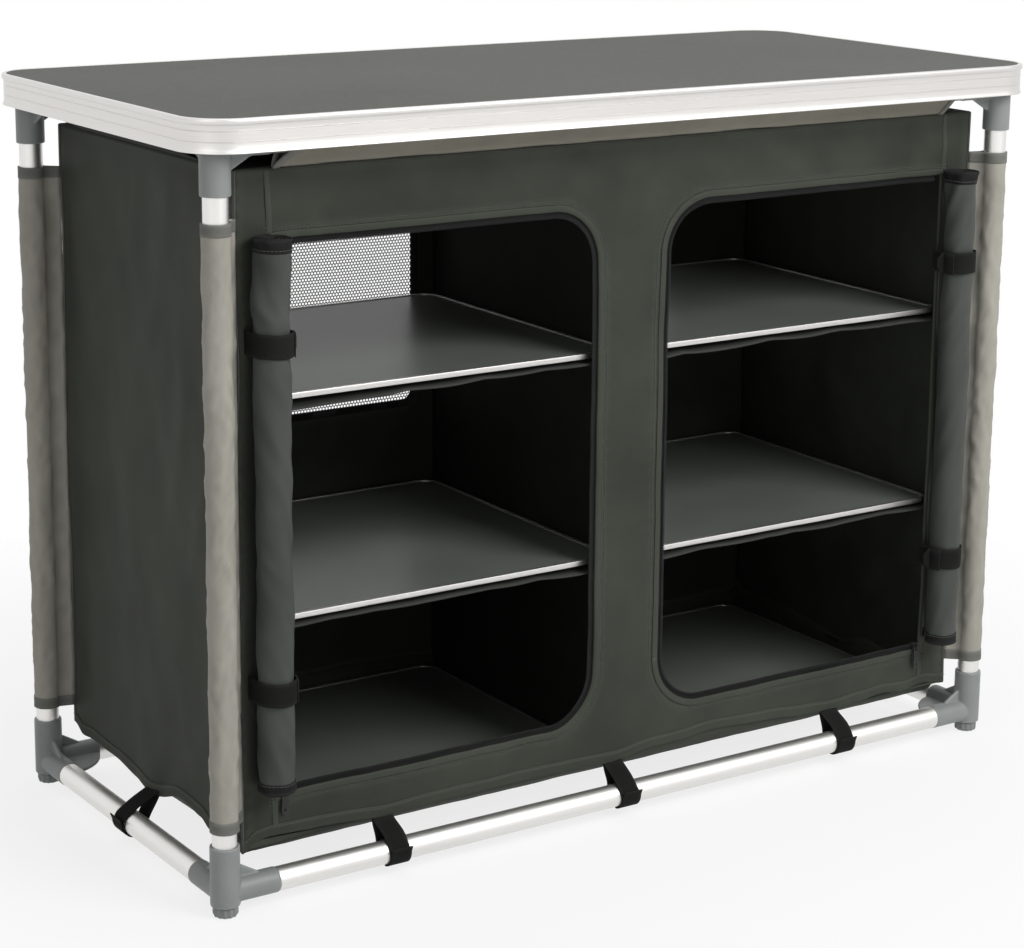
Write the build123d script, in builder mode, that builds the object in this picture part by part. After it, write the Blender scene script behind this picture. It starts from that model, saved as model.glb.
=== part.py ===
from build123d import *
from math import hypot, sqrt
import os

# Camping cupboard: a plug-together tube frame carries a laminated worktop and
# a hanging fabric cabinet with two compartments, six shelf boards and two
# rolled-up doors. Millimetres, +X to the right, -Y to the front, +Z up, the
# origin on the ground under the middle of the worktop.

os.makedirs("parts", exist_ok=True)

# Overall sizes
total_height = 800.0
worktop_length = 1065.0
worktop_depth = 495.0
leg_inset = 33.5

# Tubes
tube_diameter = 25.0
tube_wall = 1.5
tube_bore = tube_diameter - 2 * tube_wall

# Corner connectors, the same moulding eight times. Each spigot is a cross of
# two ribs that fills the rail's bore.
socket_wall = 2.6
socket_clearance = 0.1
socket_diameter = tube_diameter + 2 * (socket_wall + socket_clearance)
arm_rise = 0.7
arm_diameter = tube_diameter + 2 * arm_rise
arm_reach = 57.0
arm_margin = 0.4
arm_offset = arm_diameter / 2 + arm_margin
leg_insertion = 34.0
leg_stop = 1.8
connector_height = arm_margin + arm_diameter + leg_stop + leg_insertion
spigot_clearance = 0.1
spigot_length = 28.0
spigot_rib = 4.0
web_radius = 57.0
web_thickness = 3.0
gusset_thickness = 3.6
gusset_height = 22.3
gusset_reach = 38.5
gusset_sink = 0.4
screw_bore = 10.0
screw_bore_depth = 25.0

# Levelling feet
foot_height = 11.2
foot_diameter = 26.0
foot_sides = 12
foot_chamfer = 1.2
foot_gap = 0.3
foot_stem_clearance = 0.1
foot_stem_length = 22.0

# Worktop: the board, rebated under the lip, and the profile round it
board_thickness = 12.5
board_drop = 0.6
board_rest_gap = 0.3
board_fit = 0.1
worktop_corner = 50.0
edge_height = 33.0
edge_wall = 1.4
edge_setback = 1.8
edge_lip_thickness = 1.0
edge_lip_reach = 5.0
edge_bead_bevel = 1.5
edge_bead_height = 5.2
edge_bead_step = 2.0
edge_flare_height = 4.4
edge_flare = 1.5
edge_ledge_reach = 9.0
edge_ledge_thickness = 1.2

# Fabric cabinet
cabinet_gap_x = 14.5
cabinet_gap_y = 1.5
cabinet_hang = 28.0
cabinet_clearance = 34.9
fabric = 1.6
floor_drop = 10.0
opening_inner_x = 43.0
opening_side_margin = 41.0
opening_top_margin = 69.0
opening_bottom_margin = 48.0
opening_corner = 60.0
window_inner_x = 30.0
window_side_margin = 132.0
window_top_margin = 55.0
window_height = 302.0
window_corner = 12.0
window_overlap = 8.0
mesh_thickness = 0.8

# Shelves
shelf_inner_gap = 9.2
shelf_outer_gap = 20.4
shelf_end_gap = 10.4
shelf_corner = 20.0
shelf_edge_height = 6.0
shelf_lip_reach = 5.0
shelf_lip_thickness = 0.8
shelf_wall = 1.4
shelf_board_fit = 0.1
shelf_rest_gap = 0.3
sling_front_gap = 6.0
top_shelf_level = 518.0
middle_shelf_level = 291.0

# Rolled doors, their ties, zips and pulls
roll_diameter = 39.0
roll_inset = 29.0
roll_gap = 2.0
roll_bottom_margin = 14.0
roll_top_margin = 4.0
roll_seam_offset = 2.0
roll_seam_overlap = 1.5
roll_seam_end_gap = 4.0
tie_height = 24.0
tie_thickness = 1.3
tie_clearance = 0.1
tie_end_gap = 0.4
tie_bottom_margin = 106.0
tie_top_margin = 102.0
zip_overlap = 5.0
zip_reach = 6.0
zip_thickness = 1.2
zip_end_gap = 0.3
slider_inset = 6.5
slider_length = 10.0
slider_height = 9.0
slider_depth = 5.0
slider_lift = 0.4
slider_stand_off = 0.3
bridge_width = 2.4
bridge_depth = 4.4
bridge_height = 5.6
bridge_hole_clearance = 0.25
pull_bar = 1.5
pull_bar_stand_off = 2.2
pull_bar_drop = 0.5
pull_width = 8.0
pull_length = 26.0
pull_side = 1.4
pull_slot_length = 4.6

# Leg sleeves, rail tunnels and rail straps
sleeve_clearance = 0.6
sleeve_wall = 1.6
sleeve_bottom_gap = 15.9
sleeve_top_gap = 26.0
flap_end_gap = 1.2
tunnel_wall = 0.6
tunnel_clearance = 0.1
tunnel_end_gap = 17.0
strap_width = 24.0
strap_thickness = 1.2
strap_clearance = 0.2
band_seam = 5.0
band_seam_inset = 0.1
front_strap_x = (-306.0, -12.0, 296.0)

# Places that follow from the sizes above
half_x = worktop_length / 2 - leg_inset
half_y = worktop_depth / 2 - leg_inset
cabinet_inset_x = tube_diameter / 2 + cabinet_gap_x
cabinet_inset_y = tube_diameter / 2 + cabinet_gap_y
board_top = total_height - board_drop
board_bottom = board_top - board_thickness
connector_bottom = foot_height + foot_gap
connector_top = board_bottom - board_rest_gap
lower_axis = connector_bottom + arm_offset
upper_axis = connector_top - arm_offset
leg_bottom = connector_bottom + connector_height - leg_insertion
leg_top = connector_top - connector_height + leg_insertion
panel_half_x = half_x - cabinet_inset_x
panel_half_y = half_y - cabinet_inset_y
cabinet_top = upper_axis - cabinet_hang
cabinet_bottom = lower_axis + cabinet_clearance
cabinet_middle = (cabinet_top + cabinet_bottom) / 2
floor_top = cabinet_bottom - floor_drop + fabric
inner_x = panel_half_x - fabric
inner_y = panel_half_y - fabric
opening_outer_x = panel_half_x - opening_side_margin
opening_bottom = cabinet_bottom + opening_bottom_margin
opening_top = cabinet_top - opening_top_margin
roll_x = panel_half_x - roll_inset
roll_y = -(panel_half_y + roll_gap + roll_diameter / 2)
roll_bottom = opening_bottom + roll_bottom_margin
roll_top = opening_top + roll_top_margin
tie_levels = (roll_bottom + tie_bottom_margin, roll_top - tie_top_margin)
slider_x = opening_outer_x - slider_inset

corners = {
    "front_left": (-1, -1),
    "front_right": (1, -1),
    "back_left": (-1, 1),
    "back_right": (1, 1),
}
sides = {"left": -1, "right": 1}
along_x = (0, 90, 0)
along_y = (90, 0, 0)
standing = (Align.CENTER, Align.CENTER, Align.MIN)


def save(builder, node):
    """Writes one named piece as its own file."""
    builder.part.label = node
    export_step(builder.part, f"parts/{node}.step")


def plate(x0, x1, y0, y1, z0, z1, mode=Mode.ADD):
    """A box given by its six sides."""
    with Locations(((x0 + x1) / 2, (y0 + y1) / 2, (z0 + z1) / 2)):
        Box(abs(x1 - x0), abs(y1 - y0), abs(z1 - z0), mode=mode)


def rounded_loop(length, depth, radius, level, shift_x=0.0):
    """The closed path round a rounded rectangle, at one level."""
    with BuildSketch(Plane.XY.offset(level)) as outline:
        with Locations((shift_x, 0)):
            RectangleRounded(length, depth, radius)
    return outline.sketch.face().outer_wire()


def profile_plane(path):
    """A plane across the start of the path, its x outwards and its y up."""
    start = path @ 0
    along = path % 0
    outwards = along.cross(Vector(0, 0, 1))
    middle = path.bounding_box().center()
    if outwards.dot(start - middle) < 0:
        outwards = outwards * -1
    return Plane(origin=start, x_dir=outwards, z_dir=outwards.cross(Vector(0, 0, 1)))


def tube(places, length, turn):
    """Tubes of one length, lying or standing the same way."""
    with BuildPart() as tubes:
        with Locations(*places):
            Cylinder(tube_diameter / 2, length, rotation=turn)
            Cylinder(tube_bore / 2, length, rotation=turn, mode=Mode.SUBTRACT)
    return tubes


def band_section(radius, wall, reach, rise):
    """A band round a tube, its two layers sewn together up to a far edge."""
    seam_half = fabric / 2 - band_seam_inset
    tip = 1 - band_seam / abs(rise)
    with BuildSketch() as outside:
        with BuildLine():
            CenterArc((0, 0), radius + wall, 0, 360)
            Line((reach - seam_half, rise), (reach + seam_half, rise))
        make_hull()
    with BuildSketch() as inside:
        with BuildLine():
            CenterArc((0, 0), radius, 0, 360)
            Line((0, 0), (reach * tip, rise * tip))
        make_hull()
    return outside.sketch - inside.sketch


# Worktop: the laminated board
board_inset = edge_setback + edge_wall + board_fit
board_middle = (board_top + board_bottom) / 2
rebate_inset = edge_lip_reach + board_fit
rebate_depth = edge_lip_thickness + board_fit - board_drop
with BuildPart() as worktop_board:
    for inset, top in ((board_inset, board_top - rebate_depth), (rebate_inset, board_top)):
        with BuildSketch(Plane.XY.offset(board_bottom)):
            RectangleRounded(
                worktop_length - 2 * inset,
                worktop_depth - 2 * inset,
                worktop_corner - inset,
            )
        extrude(amount=top - board_bottom)
save(worktop_board, "worktop_board")

# Worktop: the aluminium edge profile, bent round the board in one length. It
# has a bulging bead at the top, a flared lower rim, a lip over the board and a
# ledge under it.
edge_loop = rounded_loop(worktop_length, worktop_depth, worktop_corner, total_height)
edge_inner = -edge_setback - edge_wall
ledge_top = board_bottom - board_fit - total_height
ledge_low = ledge_top - edge_ledge_thickness
bead_low = -edge_bead_height
edge_points = [
    (-edge_lip_reach, 0),
    (-edge_bead_bevel, 0),
    (0, -edge_bead_bevel),
    (0, bead_low),
    (-edge_setback, bead_low - edge_bead_step),
    (-edge_setback, edge_flare_height - edge_height),
    (edge_flare - edge_setback, -edge_height),
    (edge_inner, -edge_height),
    (edge_inner, ledge_low),
    (-edge_ledge_reach, ledge_low),
    (-edge_ledge_reach, ledge_top),
    (edge_inner, ledge_top),
    (edge_inner, -edge_lip_thickness),
    (-edge_lip_reach, -edge_lip_thickness),
]
with BuildPart() as worktop_edge:
    with BuildSketch(profile_plane(edge_loop)):
        with BuildLine():
            Polyline(*edge_points, close=True)
        make_face()
    sweep(path=edge_loop)
save(worktop_edge, "worktop_edge")

# Legs and rails: twelve aluminium tubes. The legs stand in the connectors and
# the rails run between their arms.
leg_middle = (leg_top + leg_bottom) / 2
for corner, (side_x, side_y) in corners.items():
    leg_place = (side_x * half_x, side_y * half_y, leg_middle)
    save(tube([leg_place], leg_top - leg_bottom, (0, 0, 0)), f"leg_{corner}")

long_rail = 2 * (half_x - arm_reach)
short_rail = 2 * (half_y - arm_reach)
upper_long = [(0, -half_y, upper_axis), (0, half_y, upper_axis)]
upper_short = [(-half_x, 0, upper_axis), (half_x, 0, upper_axis)]
save(tube([(0, -half_y, lower_axis)], long_rail, along_x), "lower_rail_front")
save(tube([(0, half_y, lower_axis)], long_rail, along_x), "lower_rail_back")
save(tube([(-half_x, 0, lower_axis)], short_rail, along_y), "lower_rail_left")
save(tube([(half_x, 0, lower_axis)], short_rail, along_y), "lower_rail_right")
save(tube(upper_long, long_rail, along_x), "upper_rails_long")
save(tube(upper_short, short_rail, along_y), "upper_rails_short")


def connector(side_x, side_y, end_level, up, has_foot):
    """A corner: the leg's post, two arms with their spigots, a gusset over each
    arm and a flat web with a round edge between them. end_level is the closed
    end of the post and up the way it opens."""
    leg_x = side_x * half_x
    leg_y = side_y * half_y
    axis = end_level + up * arm_offset
    mouth = end_level + up * connector_height
    spigot_radius = tube_bore / 2 - spigot_clearance
    rib_width = 2 * sqrt(spigot_radius**2 - (spigot_rib / 2) ** 2)
    gusset_foot = arm_diameter / 2 - gusset_sink
    gusset_outline = [
        (0, 0),
        (0, up * (arm_diameter / 2 + gusset_height)),
        (gusset_reach, up * gusset_foot),
        (gusset_reach, 0),
    ]
    with BuildPart() as body:
        with Locations((leg_x, leg_y, (end_level + mouth) / 2)):
            Cylinder(socket_diameter / 2, connector_height)
        for turn, arm_x, arm_y in ((along_x, -side_x, 0), (along_y, 0, -side_y)):
            with Locations((leg_x + arm_x * arm_reach / 2, leg_y + arm_y * arm_reach / 2, axis)):
                Cylinder(arm_diameter / 2, arm_reach, rotation=turn)
            arm_plane = Plane(origin=(leg_x, leg_y, axis), x_dir=(arm_x, arm_y, 0), z_dir=(arm_y, -arm_x, 0))
            with BuildSketch(arm_plane):
                with BuildLine():
                    Polyline(*gusset_outline, close=True)
                make_face()
            extrude(amount=gusset_thickness / 2, both=True)
            spigot_plane = Plane(
                origin=(leg_x + arm_x * arm_reach, leg_y + arm_y * arm_reach, axis),
                x_dir=(0, 0, 1),
                z_dir=(arm_x, arm_y, 0),
            )
            with BuildSketch(spigot_plane):
                Rectangle(rib_width, spigot_rib)
                Rectangle(spigot_rib, rib_width)
            extrude(amount=spigot_length)
        with BuildSketch(Plane.XY.offset(axis)):
            with Locations((leg_x, leg_y)):
                Circle(web_radius)
            with Locations((leg_x - side_x * web_radius / 2, leg_y - side_y * web_radius / 2)):
                Rectangle(web_radius, web_radius, mode=Mode.INTERSECT)
        extrude(amount=web_thickness / 2, both=True)
        with Locations((leg_x, leg_y, mouth - up * leg_insertion / 2)):
            Cylinder(tube_diameter / 2 + socket_clearance, leg_insertion, mode=Mode.SUBTRACT)
        if has_foot:
            with Locations((leg_x, leg_y, end_level + up * screw_bore_depth / 2)):
                Cylinder(screw_bore / 2, screw_bore_depth, mode=Mode.SUBTRACT)
    return body


for corner, (side_x, side_y) in corners.items():
    lower = connector(side_x, side_y, connector_bottom, 1, True)
    upper = connector(side_x, side_y, connector_top, -1, False)
    save(lower, f"lower_connector_{corner}")
    save(upper, f"upper_connector_{corner}")

# Levelling feet: a twelve-sided foot on a threaded stem
for corner, (side_x, side_y) in corners.items():
    with BuildPart() as foot:
        with BuildSketch():
            with Locations((side_x * half_x, side_y * half_y)):
                RegularPolygon(foot_diameter / 2, foot_sides)
        extrude(amount=foot_height)
        chamfer(foot.faces().sort_by(Axis.Z)[0].edges(), foot_chamfer)
        with Locations((side_x * half_x, side_y * half_y, foot_height)):
            Cylinder(screw_bore / 2 - foot_stem_clearance, foot_stem_length, align=standing)
    save(foot, f"foot_{corner}")


def opening_outline(side, grow, outer_end):
    """The door opening, its two corners towards the middle rounded."""
    near = side * (opening_inner_x - grow)
    far = side * outer_end
    with BuildSketch() as outline:
        with Locations(((near + far) / 2, (opening_top + opening_bottom) / 2)):
            Rectangle(abs(far - near), opening_top - opening_bottom + 2 * grow)
        towards_middle = outline.vertices().group_by(Axis.X)[0 if side > 0 else -1]
        fillet(towards_middle, opening_corner + grow)
    return outline.sketch


# Cabinet: the front panel with its two door openings
front_plane = Plane(origin=(0, -panel_half_y, 0), x_dir=(1, 0, 0), z_dir=(0, -1, 0))
openings = [opening_outline(side, 0, opening_outer_x) for side in sides.values()]
with BuildPart() as front_panel:
    with BuildSketch(front_plane):
        with Locations((0, cabinet_middle)):
            Rectangle(2 * panel_half_x, cabinet_top - cabinet_bottom)
        add(openings, mode=Mode.SUBTRACT)
    extrude(amount=-fabric)
save(front_panel, "front_panel")

# Cabinet: the back panel with two window cut-outs, and the mesh sewn behind them
window_outer_x = panel_half_x - window_side_margin
window_width = window_outer_x - window_inner_x
window_middle_x = (window_outer_x + window_inner_x) / 2
window_middle_z = cabinet_top - window_top_margin - window_height / 2
windows = [(-window_middle_x, window_middle_z), (window_middle_x, window_middle_z)]
back_plane = Plane(origin=(0, panel_half_y, 0), x_dir=(1, 0, 0), z_dir=(0, -1, 0))
with BuildPart() as back_panel:
    with BuildSketch(back_plane):
        with Locations((0, cabinet_middle)):
            Rectangle(2 * panel_half_x, cabinet_top - cabinet_bottom)
        with Locations(*windows):
            RectangleRounded(window_width, window_height, window_corner, mode=Mode.SUBTRACT)
    extrude(amount=fabric)
save(back_panel, "back_panel")
with BuildPart() as mesh_windows:
    with BuildSketch(back_plane.offset(fabric)):
        with Locations(*windows):
            RectangleRounded(
                window_width + 2 * window_overlap,
                window_height + 2 * window_overlap,
                window_corner + window_overlap,
            )
    extrude(amount=mesh_thickness)
save(mesh_windows, "mesh_windows")

# Cabinet: side panels, divider, roof and the floor, which hangs as a tray
for name, side in sides.items():
    with BuildPart() as side_panel:
        plate(side * inner_x, side * panel_half_x, -inner_y, inner_y, cabinet_bottom, cabinet_top)
    save(side_panel, f"side_panel_{name}")

divider_back = inner_y - mesh_thickness
hem_y = inner_y - fabric
with BuildPart() as divider:
    plate(-fabric / 2, fabric / 2, -inner_y, divider_back, cabinet_bottom, cabinet_top - fabric)
    plate(-fabric / 2, fabric / 2, -hem_y, hem_y, floor_top, cabinet_bottom)
save(divider, "divider")

with BuildPart() as roof_panel:
    plate(-inner_x, inner_x, -inner_y, inner_y, cabinet_top - fabric, cabinet_top)
save(roof_panel, "roof_panel")

hem_x = inner_x - fabric
with BuildPart() as floor_panel:
    plate(-inner_x, inner_x, -inner_y, inner_y, floor_top - fabric, cabinet_bottom)
    plate(-hem_x, hem_x, -hem_y, hem_y, floor_top, cabinet_bottom, Mode.SUBTRACT)
save(floor_panel, "floor_panel")

# Cabinet: tunnels that hang it on the upper rails. The front one shows as the
# pale strip between the front panel and the worktop.
tunnel_radius = tube_diameter / 2 + tunnel_clearance
hang_y = cabinet_inset_y + fabric / 2
hang_x = cabinet_inset_x + fabric / 2
tunnel_long = band_section(tunnel_radius, tunnel_wall, hang_y, -cabinet_hang)
tunnel_short = band_section(tunnel_radius, tunnel_wall, hang_x, -cabinet_hang)
front_rail = Plane(origin=(0, -half_y, upper_axis), x_dir=(0, 1, 0), z_dir=(1, 0, 0))
back_rail = Plane(origin=(0, half_y, upper_axis), x_dir=(0, -1, 0), z_dir=(-1, 0, 0))
left_rail = Plane(origin=(-half_x, 0, upper_axis), x_dir=(1, 0, 0), z_dir=(0, -1, 0))
right_rail = Plane(origin=(half_x, 0, upper_axis), x_dir=(-1, 0, 0), z_dir=(0, 1, 0))
tunnel_half_long = half_x - arm_reach - tunnel_end_gap
tunnel_half_short = half_y - arm_reach - tunnel_end_gap
with BuildPart() as valance:
    with BuildSketch(front_rail):
        add(tunnel_long)
    extrude(amount=tunnel_half_long, both=True)
save(valance, "valance")
with BuildPart() as rail_tunnels:
    with BuildSketch(back_rail):
        add(tunnel_long)
    extrude(amount=tunnel_half_long, both=True)
    with BuildSketch(left_rail, right_rail):
        add(tunnel_short)
    extrude(amount=tunnel_half_short, both=True)
save(rail_tunnels, "rail_tunnels")

# Leg sleeves: fabric tubes round the legs with a flap to the cabinet's corner
sleeve_bottom = connector_bottom + connector_height + sleeve_bottom_gap
sleeve_top = connector_top - connector_height - sleeve_top_gap
sleeve_radius = tube_diameter / 2 + sleeve_clearance
flap_length = hypot(cabinet_inset_x, cabinet_inset_y) - flap_end_gap
for corner, (side_x, side_y) in corners.items():
    sleeve_plane = Plane(
        origin=(side_x * half_x, side_y * half_y, sleeve_bottom),
        x_dir=(-side_x * cabinet_inset_x, -side_y * cabinet_inset_y, 0),
        z_dir=(0, 0, 1),
    )
    with BuildPart() as sleeve:
        with BuildSketch(sleeve_plane):
            Circle(sleeve_radius + sleeve_wall)
            with Locations((flap_length / 2, 0)):
                Rectangle(flap_length, sleeve_wall)
            Circle(sleeve_radius, mode=Mode.SUBTRACT)
        extrude(amount=sleeve_top - sleeve_bottom)
    save(sleeve, f"leg_sleeve_{corner}")

# Shelves: six boards with an aluminium edge, four of them on fabric slings and
# the lowest two on the floor of the cabinet. The edge has a lip over the board.
shelf_start = fabric / 2 + shelf_inner_gap
shelf_width = inner_x - shelf_outer_gap - shelf_start
shelf_depth = 2 * (inner_y - shelf_end_gap)
shelf_levels = {
    "top": top_shelf_level,
    "middle": middle_shelf_level,
    "bottom": floor_top + shelf_rest_gap + shelf_edge_height,
}
shelf_inset = shelf_wall + shelf_board_fit
shelf_board_height = shelf_edge_height - shelf_lip_thickness - shelf_board_fit
shelf_points = [
    (0, 0),
    (0, -shelf_edge_height),
    (-shelf_wall, -shelf_edge_height),
    (-shelf_wall, -shelf_lip_thickness),
    (-shelf_lip_reach, -shelf_lip_thickness),
    (-shelf_lip_reach, 0),
]
for name, side in sides.items():
    shelf_x = side * (shelf_start + shelf_width / 2)
    for level_name, level in shelf_levels.items():
        with BuildPart() as shelf_board:
            with BuildSketch(Plane.XY.offset(level - shelf_edge_height)):
                with Locations((shelf_x, 0)):
                    RectangleRounded(
                        shelf_width - 2 * shelf_inset,
                        shelf_depth - 2 * shelf_inset,
                        shelf_corner - shelf_inset,
                    )
            extrude(amount=shelf_board_height)
        save(shelf_board, f"shelf_board_{name}_{level_name}")
        shelf_loop = rounded_loop(shelf_width, shelf_depth, shelf_corner, level, shelf_x)
        with BuildPart() as shelf_edge:
            with BuildSketch(profile_plane(shelf_loop)):
                with BuildLine():
                    Polyline(*shelf_points, close=True)
                make_face()
            sweep(path=shelf_loop)
        save(shelf_edge, f"shelf_edge_{name}_{level_name}")

    # Slings under the two upper boards of this side
    with BuildPart() as slings:
        for level in (top_shelf_level, middle_shelf_level):
            sling_top = level - shelf_edge_height - shelf_rest_gap
            near_x = side * fabric / 2
            far_x = side * inner_x
            sling_front = sling_front_gap - inner_y
            plate(near_x, far_x, sling_front, divider_back, sling_top - fabric, sling_top)
    save(slings, f"shelf_slings_{name}")

# Rolled-up doors on the outer side of each opening, each with the strip of its
# fabric that runs back to the panel, and two ties round each roll
seam_x = roll_x + roll_seam_offset
seam_y = roll_y + roll_diameter / 2 - roll_seam_overlap
seam_gap = tie_height / 2 + tie_end_gap
seam_stretches = [
    (roll_bottom + roll_seam_end_gap, tie_levels[0] - seam_gap),
    (tie_levels[0] + seam_gap, tie_levels[1] - seam_gap),
    (tie_levels[1] + seam_gap, roll_top - roll_seam_end_gap),
]
for name, side in sides.items():
    with BuildPart() as door_roll:
        with Locations((side * roll_x, roll_y, roll_bottom)):
            Cylinder(roll_diameter / 2, roll_top - roll_bottom, align=standing)
        for low, high in seam_stretches:
            plate(side * seam_x, side * (seam_x + fabric), seam_y, -panel_half_y, low, high)
    save(door_roll, f"door_roll_{name}")

tie_radius = roll_diameter / 2 + tie_clearance
tie_reach = -panel_half_y - roll_y
with BuildPart() as door_ties:
    for level in tie_levels:
        with BuildSketch(Plane.XY.offset(level)):
            with Locations((-roll_x, roll_y), (roll_x, roll_y)):
                for radius, mode in ((tie_radius + tie_thickness, Mode.ADD), (tie_radius, Mode.SUBTRACT)):
                    Circle(radius, mode=mode)
                    Rectangle(2 * radius, tie_reach, align=(Align.CENTER, Align.MIN), mode=mode)
        extrude(amount=tie_height / 2, both=True)
save(door_ties, "door_ties")

# Zips round the openings, with their sliders parked at the lower outer ends
zip_end = slider_x - slider_length / 2 - zip_end_gap
zip_bands = []
for side in sides.values():
    band = opening_outline(side, zip_overlap, zip_end)
    gap = opening_outline(side, -zip_reach, zip_end + zip_reach)
    zip_bands.append(band - gap)
with BuildPart() as door_zips:
    with BuildSketch(front_plane.offset(-fabric)):
        add(zip_bands)
    extrude(amount=-zip_thickness)
save(door_zips, "door_zips")

slider_z = opening_bottom + slider_height / 2 + slider_lift
slider_front = -panel_half_y - slider_stand_off
bar_y = slider_front - pull_bar_stand_off
bar_z = slider_z - pull_bar_drop
bridge_y = slider_front - bridge_depth / 2
bridge_hole = pull_bar / 2 + bridge_hole_clearance
with BuildPart() as zip_sliders:
    for side in sides.values():
        with Locations((side * slider_x, slider_front + slider_depth / 2, slider_z)):
            Box(slider_length, slider_depth, slider_height)
        with Locations((side * slider_x, bridge_y, bar_z)):
            Box(bridge_width, bridge_depth, bridge_height)
        with Locations((side * slider_x, bar_y, bar_z)):
            Cylinder(bridge_hole, bridge_width, rotation=along_x, mode=Mode.SUBTRACT)
save(zip_sliders, "zip_sliders")

for name, side in sides.items():
    with BuildPart() as zip_pull:
        with Locations((side * slider_x, bar_y, bar_z - pull_length / 2)):
            Box(pull_width, pull_bar, pull_length)
        with Locations((side * slider_x, bar_y, bar_z - pull_slot_length / 2)):
            Box(pull_width - 2 * pull_side, pull_bar, pull_slot_length, mode=Mode.SUBTRACT)
        with Locations((side * slider_x, bar_y, bar_z)):
            Cylinder(pull_bar / 2, pull_width, rotation=along_x)
    save(zip_pull, f"zip_pull_{name}")

# Hook-and-loop straps that tie the cabinet's lower edge to the lower rails
strap_radius = tube_diameter / 2 + strap_clearance
strap_long = band_section(strap_radius, strap_thickness, hang_y, cabinet_clearance)
strap_short = band_section(strap_radius, strap_thickness, hang_x, cabinet_clearance)
with BuildPart() as rail_straps:
    for x in front_strap_x:
        front_place = Plane(origin=(x, -half_y, lower_axis), x_dir=(0, 1, 0), z_dir=(1, 0, 0))
        back_place = Plane(origin=(-x, half_y, lower_axis), x_dir=(0, -1, 0), z_dir=(-1, 0, 0))
        with BuildSketch(front_place, back_place):
            add(strap_long)
        extrude(amount=strap_width / 2, both=True)
    for side in sides.values():
        side_place = Plane(
            origin=(side * half_x, 0, lower_axis),
            x_dir=(-side, 0, 0),
            z_dir=(0, side, 0),
        )
        with BuildSketch(side_place):
            add(strap_short)
        extrude(amount=strap_width / 2, both=True)
save(rail_straps, "rail_straps")
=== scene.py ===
import math

import bmesh
import bpy
from mathutils import Matrix, Vector, geometry, noise


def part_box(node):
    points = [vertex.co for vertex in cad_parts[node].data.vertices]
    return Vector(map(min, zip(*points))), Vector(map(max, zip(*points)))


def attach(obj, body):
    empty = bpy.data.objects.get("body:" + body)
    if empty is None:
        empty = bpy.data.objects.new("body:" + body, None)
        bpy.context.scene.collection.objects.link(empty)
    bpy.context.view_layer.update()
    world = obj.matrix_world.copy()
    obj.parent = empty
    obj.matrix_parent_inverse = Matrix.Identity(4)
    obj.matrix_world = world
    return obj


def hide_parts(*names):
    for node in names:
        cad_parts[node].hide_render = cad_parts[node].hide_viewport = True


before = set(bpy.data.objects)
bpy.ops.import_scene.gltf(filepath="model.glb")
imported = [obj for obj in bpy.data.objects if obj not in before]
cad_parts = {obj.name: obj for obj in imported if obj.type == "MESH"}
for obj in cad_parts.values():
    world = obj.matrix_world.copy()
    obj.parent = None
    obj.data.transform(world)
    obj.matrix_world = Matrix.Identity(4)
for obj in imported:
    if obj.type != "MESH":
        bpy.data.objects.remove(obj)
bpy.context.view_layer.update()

# Studio. A pale floor in a white surround, with a large soft lamp in front, a fill
# at the left and one above. A long lens looks down a little from the left front.
scene = bpy.context.scene
scene.view_settings.view_transform = "Standard"


def node(tree, kind, inputs=None, **settings):
    """Adds a shader or geometry node. An input may be a value or a socket."""
    made = tree.nodes.new(kind)
    for key, value in settings.items():
        setattr(made, key, value)
    for key, value in (inputs or {}).items():
        if isinstance(value, bpy.types.NodeSocket):
            tree.links.new(value, made.inputs[key])
        else:
            made.inputs[key].default_value = value
    return made


def maths(tree, kind, first, second=0.0):
    """One sum of two amounts."""
    return node(tree, "ShaderNodeMath", {0: first, 1: second}, operation=kind).outputs[0]


def spread(tree, amount, low, high, start=0.0, end=1.0):
    """Turns an amount from start to end into one from low to high."""
    ends = {"From Min": start, "From Max": end, "To Min": low, "To Max": high}
    return node(tree, "ShaderNodeMapRange", {"Value": amount, **ends}).outputs["Result"]


def seen_directly(tree):
    """1 for what the camera, a reflection or a clear material looks at."""
    path = node(tree, "ShaderNodeLightPath").outputs
    either = maths(tree, "MAXIMUM", path["Is Camera Ray"], path["Is Glossy Ray"])
    return maths(tree, "MAXIMUM", either, path["Is Transmission Ray"])


def emptied(owner):
    """The node tree of a material or the world, with nothing in it."""
    owner.use_nodes = True
    owner.node_tree.nodes.clear()
    return owner.node_tree


pure_white = (1.0, 1.0, 1.0, 1.0)
scene.world = bpy.data.worlds.new("white_surround")
tree = emptied(scene.world)
soft = node(tree, "ShaderNodeBackground", {"Color": pure_white, "Strength": 0.38}).outputs[0]
white = node(tree, "ShaderNodeBackground", {"Color": pure_white, "Strength": 1.0}).outputs[0]
either = node(tree, "ShaderNodeMixShader", {0: seen_directly(tree), 1: soft, 2: white})
node(tree, "ShaderNodeOutputWorld", {"Surface": either.outputs[0]})

floor_finish = bpy.data.materials.new("studio_floor")
tree = emptied(floor_finish)
matt = node(tree, "ShaderNodeBsdfDiffuse", {"Color": (0.86, 0.86, 0.86, 1.0)}).outputs[0]
glow = node(tree, "ShaderNodeEmission", {"Color": pure_white, "Strength": 1.0}).outputs[0]
where = node(tree, "ShaderNodeNewGeometry").outputs["Position"]
away = node(tree, "ShaderNodeVectorMath", {0: where}, operation="LENGTH").outputs["Value"]
share = maths(tree, "MULTIPLY", seen_directly(tree), spread(tree, away, 0.8, 1.0, 0.55, 1.2))
either = node(tree, "ShaderNodeMixShader", {0: share, 1: matt, 2: glow})
node(tree, "ShaderNodeOutputMaterial", {"Surface": either.outputs[0]})
floor_half, floor_level = 30.0, -0.0004
floor_mesh = bpy.data.meshes.new("studio_floor")
floor_corners = [(a * floor_half, b * floor_half, floor_level) for a, b in ((-1, -1), (1, -1), (1, 1), (-1, 1))]
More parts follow.
